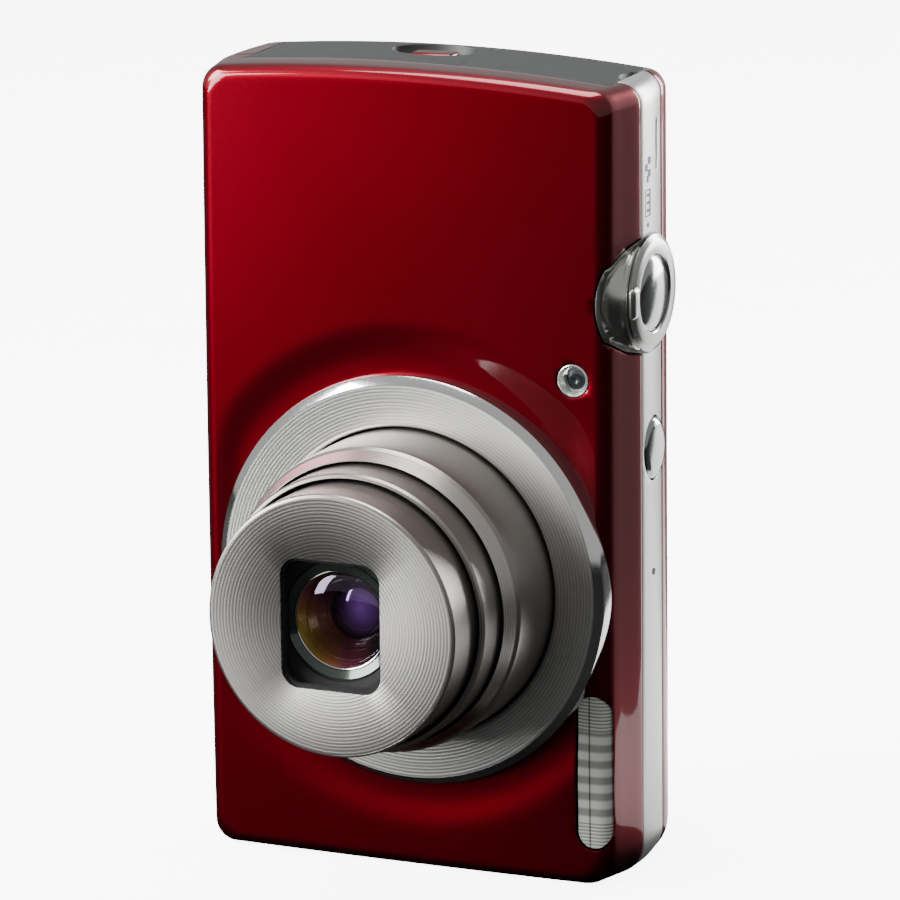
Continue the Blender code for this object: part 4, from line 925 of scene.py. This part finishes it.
def dial():
    """Zoom lever ring with its finger tab, the domed shutter button and, under them, a near-black ring that stands for
    the shadow in the gap.
    """
    centre = (0, DIAL_Y, DIAL_Z)
    low = HALF + 0.2 * MM
    high = HALF + 0.8 * MM
    r, b = DIAL_RADIUS - 0.02 * MM, BUTTON_RADIUS
    ring = [(b + 0.1 * MM, low + 0.2 * MM), (b + 0.14 * MM, high - 0.12 * MM), (b + 0.3 * MM, high),
            (r - 0.75 * MM, high), (r - 0.6 * MM, high - 0.04 * MM), (r - 0.22 * MM, high - 0.32 * MM),
            (r - 0.05 * MM, low + 0.22 * MM), (r - 0.12 * MM, low), (b + 0.1 * MM, low), (b + 0.1 * MM, low + 0.2 * MM)]
    lever = turned("zoom_ring", ring, "X", centre, 160)
    edge = DIAL_Y - DIAL_RADIUS
    tab = block("tab", (low + 0.05 * MM, edge - 0.25 * MM, DIAL_Z - 1.8 * MM),
                (high + 0.35 * MM, edge + 1.7 * MM, DIAL_Z + 1.8 * MM), 0.45 * MM, 6)
    join(lever, tab)
    settle(lever, "zoom_lever", "dial", "silver", "zoom_lever", smooth=30)
    bore = b + 0.25 * MM
    base = [(bore, HALF - 0.5 * MM), (r + 0.2 * MM, HALF - 0.5 * MM), (r + 0.2 * MM, HALF + 0.02 * MM),
            (r - 0.3 * MM, HALF + 0.14 * MM), (bore, HALF + 0.14 * MM), (bore, HALF - 0.5 * MM)]
    # near-black ring under the dial: painted shadow of the gap
    settle(turned("dial_seat", base, "X", centre, 160), "camera_body", "seat", "black_plastic", smooth=30)
    dome = [(b * math.sin(k * 0.157), high - 0.42 * MM + 0.8 * MM * math.cos(k * 0.157)) for k in range(11)]
    dome[0] = (0, dome[0][1])
    skirt = [(b, high - 0.42 * MM), (b, low + 0.3 * MM), (0, low + 0.3 * MM)]
    settle(turned("shutter_dome", dome + skirt[1:], "X", centre, 128), "shutter_button", "button", "silver",
           "shutter_button", smooth=40)


def power_key():
    """Power button, longer than wide, with a bevelled rim, and the small lamp near it."""
    centre = (0, POWER_Y, POWER_Z)
    r = POWER_RADIUS
    top = HALF + 0.3 * MM
    cap = [(0, top), (r - 0.9 * MM, top - 0.02 * MM), (r - 0.45 * MM, top - 0.1 * MM), (r - 0.12 * MM, top - 0.3 * MM),
           (r, top - 0.6 * MM), (r, HALF - 1.2 * MM), (0, HALF - 1.2 * MM)]
    settle(stretched(turned("power_cap", cap, "X", centre, 96)), "power_button", "button", "silver", "power_button", smooth=40)
    lamp = turned("power_lamp", [(0, HALF - 0.5 * MM), (0.42 * MM, HALF - 0.5 * MM), (0.42 * MM, HALF - 0.02 * MM),
                                 (0, HALF + 0.02 * MM)], "X", (0, POWER_Y - 0.3 * MM, POWER_Z - 14.8 * MM), 32)
    settle(lamp, "camera_body", "seat", "clear_window")


def strip_marks():
    """Printed signs beside the dial: a frame with three bars for wide, a chequer for far, and a dot."""
    x_low, x_high = HALF - 0.3 * MM, HALF + 0.012 * MM
    y, z = -1.4 * MM, DIAL_Z + 9.0 * MM
    frame_piece = block("wide_frame", (x_low, y - 0.75 * MM, z), (x_high, y + 0.75 * MM, z + 3.2 * MM))
    cut(frame_piece, block("wide_hole", (x_low - MM, y - 0.62 * MM, z + 0.13 * MM),
                           (x_high + MM, y + 0.62 * MM, z + 3.07 * MM)))
    for number in range(3):
        at = z + (0.55 + 0.9 * number) * MM
        join(frame_piece, block("wide_bar", (x_low, y - 0.35 * MM, at), (x_high, y + 0.35 * MM, at + 0.32 * MM)))
    settle(frame_piece, "camera_body", "print_dark", "silver")
    chequer = block("chequer", (x_low, y - 0.3 * MM, z + 4.0 * MM), (x_high, y + 0.3 * MM, z + 4.8 * MM))
    for number in range(3):
        side = -0.45 * MM if number % 2 else 0.45 * MM
        at = z + (4.6 + 0.75 * number) * MM
        join(chequer, block("chequer_cell", (x_low, y + side - 0.4 * MM, at), (x_high, y + side + 0.4 * MM,
                                                                             at + 0.85 * MM)))
    settle(chequer, "camera_body", "print_blue", "silver")
    dot = turned("zoom_dot", [(0, x_low), (0.3 * MM, x_low), (0.3 * MM, x_high), (0, x_high)], "X",
                 (0, y, z - 1.0 * MM), 32)
    settle(dot, "camera_body", "print_dark", "silver")


def rear_keys():
    """Keys of the back with their signs, the four-way pad and its centre key."""
    for key, sign in (("movie_button", "dot"), ("playback_button", "play"), ("menu_button", "lines")):
        low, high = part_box(key)
        centre = ((low.x + high.x) / 2, 0, (low.z + high.z) / 2)
        r = (high.x - low.x) / 2 - 0.7 * MM
        y = high.y
        cap = [(0, y - 2 * MM), (r, y - 2 * MM), (r, y - 0.3 * MM), (r - 0.08 * MM, y - 0.12 * MM),
               (r - 0.3 * MM, y), (r * 0.6, y - 0.04 * MM), (0, y - 0.06 * MM)]
        settle(turned(key + "_cap", cap, "Y", centre, 64), key, "button", "silver", key, smooth=40)
        mark(sign, key, centre, y)
    low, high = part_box("pad_ring")
    centre = ((low.x + high.x) / 2, 0, (low.z + high.z) / 2)
    r, y = (high.x - low.x) / 2, high.y
    bore = 4.1 * MM
    ring = softened([(bore, y - 1.0 * MM), (bore, y - 0.3 * MM), (bore + 1.2 * MM, y - 0.05 * MM),
                     (r - 0.9 * MM, y), (r, y - 0.5 * MM), (r, y - 1.0 * MM)], 0.2 * MM)
    settle(turned("four_way_pad", ring, "Y", centre, 128), "pad_ring", "button", "silver", "pad_ring",
           smooth=40)
    for number in range(4):
        turn = number * math.pi / 2
        place = (centre[0] + 6.6 * MM * math.cos(turn), y, centre[2] + 6.6 * MM * math.sin(turn))
        bead = turned("pad_mark_%d" % number, [(0, y - 0.1 * MM), (0.45 * MM, y - 0.1 * MM), (0.4 * MM, y + 0.05 * MM),
                                               (0, y + 0.1 * MM)], "Y", (place[0], 0, place[2]), 24)
        settle(bead, "pad_ring", "print_dark", "black_plastic")
    low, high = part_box("set_button")
    r, y = (high.x - low.x) / 2, high.y
    cap = [(0, y - 1.4 * MM), (r, y - 1.4 * MM), (r, y - 0.3 * MM), (r - 0.25 * MM, y - 0.02 * MM),
           (r - 0.6 * MM, y), (0, y + 0.04 * MM)]
    settle(turned("set_cap", cap, "Y", centre, 64), "set_button", "button", "silver", "set_button", smooth=40)


def mark(kind, body, centre, y):
    """A small plain sign on a key of the back."""
    x, z = centre[0], centre[2]
    if kind == "dot":
        obj = turned("record_dot", [(0, y - 0.2 * MM), (0.9 * MM, y - 0.2 * MM), (0.85 * MM, y + 0.02 * MM),
                                    (0, y + 0.05 * MM)], "Y", centre, 32)
        settle(obj, body, "red", "red_paint")
        return
    if kind == "play":
        deselect()
        bpy.ops.mesh.primitive_cylinder_add(vertices=3, radius=1.0 * MM, depth=0.2 * MM, location=(x, y - 0.05 * MM, z),
                                            rotation=(math.pi / 2, 0, 0))
        obj = placed("play_sign")
        edit(obj, everything=True)
        bpy.ops.mesh.bevel(offset=0.04 * MM, segments=2, affect="EDGES")
        settle(obj, body, "print_dark", "black_plastic")
        return
    for row in (-1, 0, 1):
        obj = block("menu_line_%d" % (row + 2), (x - 1.0 * MM, y - 0.1 * MM, z + row * 0.6 * MM - 0.12 * MM),
                    (x + 1.0 * MM, y + 0.03 * MM, z + row * 0.6 * MM + 0.12 * MM), 0.04 * MM)
        settle(obj, body, "print_dark", "black_plastic")


def base_details():
    """Threaded tripod socket and the base screw's cross."""
    centre = (0, (SOCKET_LOW.y + SOCKET_HIGH.y) / 2, (SOCKET_LOW.z + SOCKET_HIGH.z) / 2)
    out, deep = 4.0 * MM, SOCKET_HIGH.x
    mouth = -HALF + 0.9 * MM
    crest, root, pitch = 2.75 * MM, 3.175 * MM, 1.27 * MM
    profile = [(out, deep), (out, mouth), (root + 0.1 * MM, mouth)]
    turns = 3
    for number in range(turns):
        at = mouth + 0.35 * MM + number * pitch
        profile += [(crest, at + 0.25 * MM), (crest, at + 0.4 * MM), (root, at + 0.85 * MM), (root, at + 1.0 * MM)]
    profile += [(crest, deep - 0.9 * MM), (0, deep - 0.8 * MM), (0, deep), (out, deep)]
    settle(turned("tripod_thread", profile, "X", centre, 96), "camera_body", "brass", "brass",
           "tripod_socket", smooth=25)
    low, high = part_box("base_screw_1")
    centre = (0, (low.y + high.y) / 2, (low.z + high.z) / 2)
    face = -HALF + 0.15 * MM
    screw = turned("screw_head", [(0, face), (0.9 * MM, face), (1.2 * MM, face + 0.2 * MM), (1.2 * MM, face + 0.8 * MM),
                                  (0, face + 0.8 * MM)], "X", centre, 48)
    for across in ((0.13, 0.75), (0.75, 0.13)):
        cut(screw, block("cross", (face - 1 * MM, centre[1] - across[0] * MM, centre[2] - across[1] * MM),
                         (face + 0.4 * MM, centre[1] + across[0] * MM, centre[2] + across[1] * MM)))
    settle(screw, "camera_body", "steel", "steel", "base_screw_1")


def carried_over():
    """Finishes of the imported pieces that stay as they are, most of them inside."""
    by_look = {
        "black": ("lens_housing", "shutter_cell", "focus_carrier", "flash_capacitor", "speaker", "battery_holder",
                  "pad_gimbal", "barrier_blade_base", "barrier_blade_top"),
        "violet_glass": ("second_lens", "focus_lens"),
        "steel": ("flap_pin", "usb_port", "focus_rod", "sensor_plate", "zoom_motor", "flash_reflector",
                  "chassis_plate", "card_cage", "door_hinge_pin"),
        "board": ("top_button_board", "switch_board", "main_board"),
        "gloss_black": ("image_sensor", "lcd_module"),
        "lamp_rim": ("flash_tube", "focus_lamp"),
        "label": ("battery", "memory_card"),
    }
    for look, names in by_look.items():
        for name in names:
            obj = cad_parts[name]
            obj.data.materials.clear()
            obj.data.materials.append(LOOKS[look])


def more_looks():
    """Finishes that need places on the object."""
    lens = (LENS_X, 0, LENS_Z)
    LOOKS["cone"] = brushed_look("turned_cone", (0.52, 0.50, 0.48), 0.33, lens, pitch=0.15 * MM, depth=0.5)
    LOOKS["dial"] = plain_look("dial_satin", (0.40, 0.40, 0.385), 0.22, 0.95, scale=1500, vary=0.03, bump=0.01)
    LOOKS["button"] = plain_look("button_satin", (0.42, 0.43, 0.435), 0.14, 1.0, scale=1500, vary=0.02, bump=0.008)
    LOOKS["bezel"] = plain_look("bezel_satin", (0.62, 0.62, 0.60), 0.22, 1.0, scale=1500, vary=0.03, bump=0.01)
    # near-black finish that stands for painted shadow in the gap under the dial; the sound slot's floor and the power
    # lamp use it too
    LOOKS["seat"] = plain_look("dial_shadow", (0.02, 0.02, 0.02), 0.4, 0.3)
    LOOKS["green_glass"] = plain_look("green_edge", (0.045, 0.06, 0.05), 0.15, 0.6, vary=0.3, coat=1.0)
    LOOKS["coated_glass"] = coated_glass_look()
    LOOKS["throat_reflection"] = throat_reflection_look()
    LOOKS["violet_glass"] = violet_reflection_look()
    LOOKS["flash"] = flash_reflection_look()
    LOOKS["lamp_rim"] = plain_look("lamp_rim", (0.62, 0.64, 0.60), 0.2, 0.7, vary=0.15)
    LOOKS["lamp_dark"] = plain_look("lamp_dark", (0.04, 0.05, 0.055), 0.25, 0.3, vary=0.4)
    LOOKS["lamp_glass"] = coated_glass_look("lamp_glass", (0.75, 0.8, 0.8), 0.14)
    LOOKS["screen"] = screen_look()


def coated_glass_look(name="coated_glass", colour=(0.55, 0.45, 0.65), alpha=0.10):
    """Clear element: only its coating's faint reflection shows."""
    look, shader = start_look(name, colour, 0.03, 1.0)
    shader.inputs["Alpha"].default_value = alpha
    where = place_of(look)
    drift = node(look, "TexNoise", {"Vector": where, "Scale": 120.0, "Detail": 1.0})
    tint(look, shader, drift.outputs["Fac"], tuple(c * 0.8 for c in colour), colour)
    return look


def throat_reflection_look():
    """Inner wall of the lens with a painted reflection: amber to plum on the base side, black towards the top side."""
    look, shader = start_look("lens_throat", (0.03, 0.02, 0.02), 0.25, 0.3, coat=0.6)
    where = place_of(look)
    turn = node(look, "Mapping", {"Vector": where, "Location": (-LENS_X, 0, -LENS_Z)})
    parts = node(look, "SeparateXYZ", {"Vector": turn.outputs["Vector"]})
    down = node(look, "Math", {0: parts.outputs["Z"], 1: -0.55}, operation="MULTIPLY")
    side = node(look, "Math", {0: down.outputs["Value"], 1: parts.outputs["X"]}, operation="SUBTRACT")
    span = node(look, "MapRange", {"Value": side.outputs["Value"], "From Min": -1.5 * MM, "From Max": 6.2 * MM})
    # painted reflection: amber and plum on the base side, fading to black towards the top side
    ramp = tint(look, shader, span.outputs["Result"], (0.004, 0.004, 0.004), (0.30, 0.20, 0.02))
    middle = ramp.color_ramp.elements.new(0.55)
    middle.color = (0.10, 0.02, 0.035, 1)
    warm_reflection = ramp.color_ramp.elements.new(0.8)
    warm_reflection.color = (0.24, 0.09, 0.03, 1)
    return look


def violet_reflection_look():
    """Deep element: a painted violet reflection of its coating, bright a little off its middle and darker to its rim.
    """
    look, shader = start_look("violet_glass", (0.12, 0.04, 0.30), 0.08, 0.5, coat=1.0)
    radius = from_axis(look, (LENS_X + 0.6 * MM, 0, LENS_Z + 0.6 * MM), 1)
    span = node(look, "MapRange", {"Value": radius, "From Min": 0.0, "From Max": 3.2 * MM})
    # painted reflection: bright violet near the middle, darkening to near black at the rim
    ramp = tint(look, shader, span.outputs["Result"], (0.30, 0.12, 0.60), (0.02, 0.01, 0.03))
    ramp.color_ramp.elements.new(0.45).color = (0.16, 0.05, 0.28, 1)
    return look


def flash_reflection_look():
    """Clear ribbed plastic over a bright reflector, drawn opaque: the reflector's light is a painted reflection in
    broad bands and fine ribs at the ends, crossed by one darker tube line.
    """
    look, shader = start_look("flash_pane", (0.6, 0.62, 0.6), 0.18, 0.35, coat=0.8, coat_roughness=0.05)
    where = place_of(look)
    parts = node(look, "SeparateXYZ", {"Vector": where})
    z, x = parts.outputs["Z"], parts.outputs["X"]
    middle = (FLASH_LOW.z + FLASH_HIGH.z) / 2 - 0.6 * MM
    wave = node(look, "Math", {0: z, 1: math.tau / (1.95 * MM)}, operation="MULTIPLY")
    band = node(look, "Math", {0: wave.outputs["Value"]}, operation="SINE")
    rib_wave = node(look, "Math", {0: z, 1: math.tau / (0.42 * MM)}, operation="MULTIPLY")
    rib = node(look, "Math", {0: rib_wave.outputs["Value"]}, operation="SINE")
    off = node(look, "Math", {0: z, 1: middle}, operation="SUBTRACT")
    away = node(look, "Math", {0: off.outputs["Value"]}, operation="ABSOLUTE")
    ends = node(look, "MapRange", {"Value": away.outputs["Value"], "From Min": 5.2 * MM, "From Max": 5.8 * MM})
    ribs_and_reflection = node(look, "Mix", {"Factor": ends.outputs["Result"], "A": band.outputs["Value"],
                                 "B": rib.outputs["Value"]}, data_type="FLOAT")
    line_off = node(look, "Math", {0: x, 1: FLASH_LOW.x + 1.45 * MM}, operation="SUBTRACT")
    line_abs = node(look, "Math", {0: line_off.outputs["Value"]}, operation="ABSOLUTE")
    line = node(look, "MapRange", {"Value": line_abs.outputs["Value"], "From Min": 0.05 * MM, "From Max": 0.16 * MM,
                                   "To Min": 0.25, "To Max": 1.0})
    reflection_level = node(look, "MapRange", {"Value": ribs_and_reflection.outputs["Result"], "From Min": -0.5, "From Max": 0.5,
                                    "To Min": 0.42, "To Max": 1.0})
    share = node(look, "Math", {0: reflection_level.outputs["Result"], 1: line.outputs["Result"]}, operation="MULTIPLY")
    # painted reflection: bright where the ribs show the reflector, darker along the tube line
    tint(look, shader, share.outputs["Value"], (0.05, 0.03, 0.03), (0.74, 0.77, 0.73))
    relief(look, shader, ribs_and_reflection.outputs["Result"], 0.12, 0.05 * MM)
    return look


def screen_look():
    """Glossy dark glass, a little lighter over the display than at its border."""
    look, shader = start_look("screen_glass", (0.01, 0.01, 0.012), 0.06, 0.0, coat=1.0)
    where = place_of(look)
    parts = node(look, "SeparateXYZ", {"Vector": where})
    far_x = node(look, "Math", {0: parts.outputs["X"]}, operation="ABSOLUTE")
    off_z = node(look, "Math", {0: parts.outputs["Z"], 1: (GLASS_LOW.z + GLASS_HIGH.z) / 2}, operation="SUBTRACT")
    far_z = node(look, "Math", {0: off_z.outputs["Value"]}, operation="ABSOLUTE")
    edge_x = node(look, "MapRange", {"Value": far_x.outputs["Value"], "From Min": GLASS_HIGH.x - 2.0 * MM,
                                     "From Max": GLASS_HIGH.x - 1.9 * MM, "To Min": 1.0, "To Max": 0.0})
    edge_z = node(look, "MapRange", {"Value": far_z.outputs["Value"],
                                     "From Min": (GLASS_HIGH.z - GLASS_LOW.z) / 2 - 2.3 * MM,
                                     "From Max": (GLASS_HIGH.z - GLASS_LOW.z) / 2 - 2.2 * MM,
                                     "To Min": 1.0, "To Max": 0.0})
    inside = node(look, "Math", {0: edge_x.outputs["Result"], 1: edge_z.outputs["Result"]}, operation="MULTIPLY")
    tint(look, shader, inside.outputs["Value"], (0.006, 0.006, 0.007), (0.022, 0.023, 0.026))
    return look


aim_camera()
light_stage()
LOOKS = make_looks()
more_looks()
BODY = body_form("body_form")
SUNK_BODY = sunk_copy("sunk_form", 0.25 * MM)
INSIDE = body_form("inside_form", drawn_in=SHELL, fine=False)

front_shell()
rear_shell()
silver_strip()
scoop_bezel()
base_and_end()
strap_cup()
trim_ring()
barrels()
lens_face()
lens_inside()
flash_piece()
focus_lamp()
dial()
power_key()
strip_marks()
rear_keys()
base_details()
carried_over()
for helper in (BODY, SUNK_BODY, INSIDE):
    bpy.data.objects.remove(helper, do_unlink=True)
deselect()
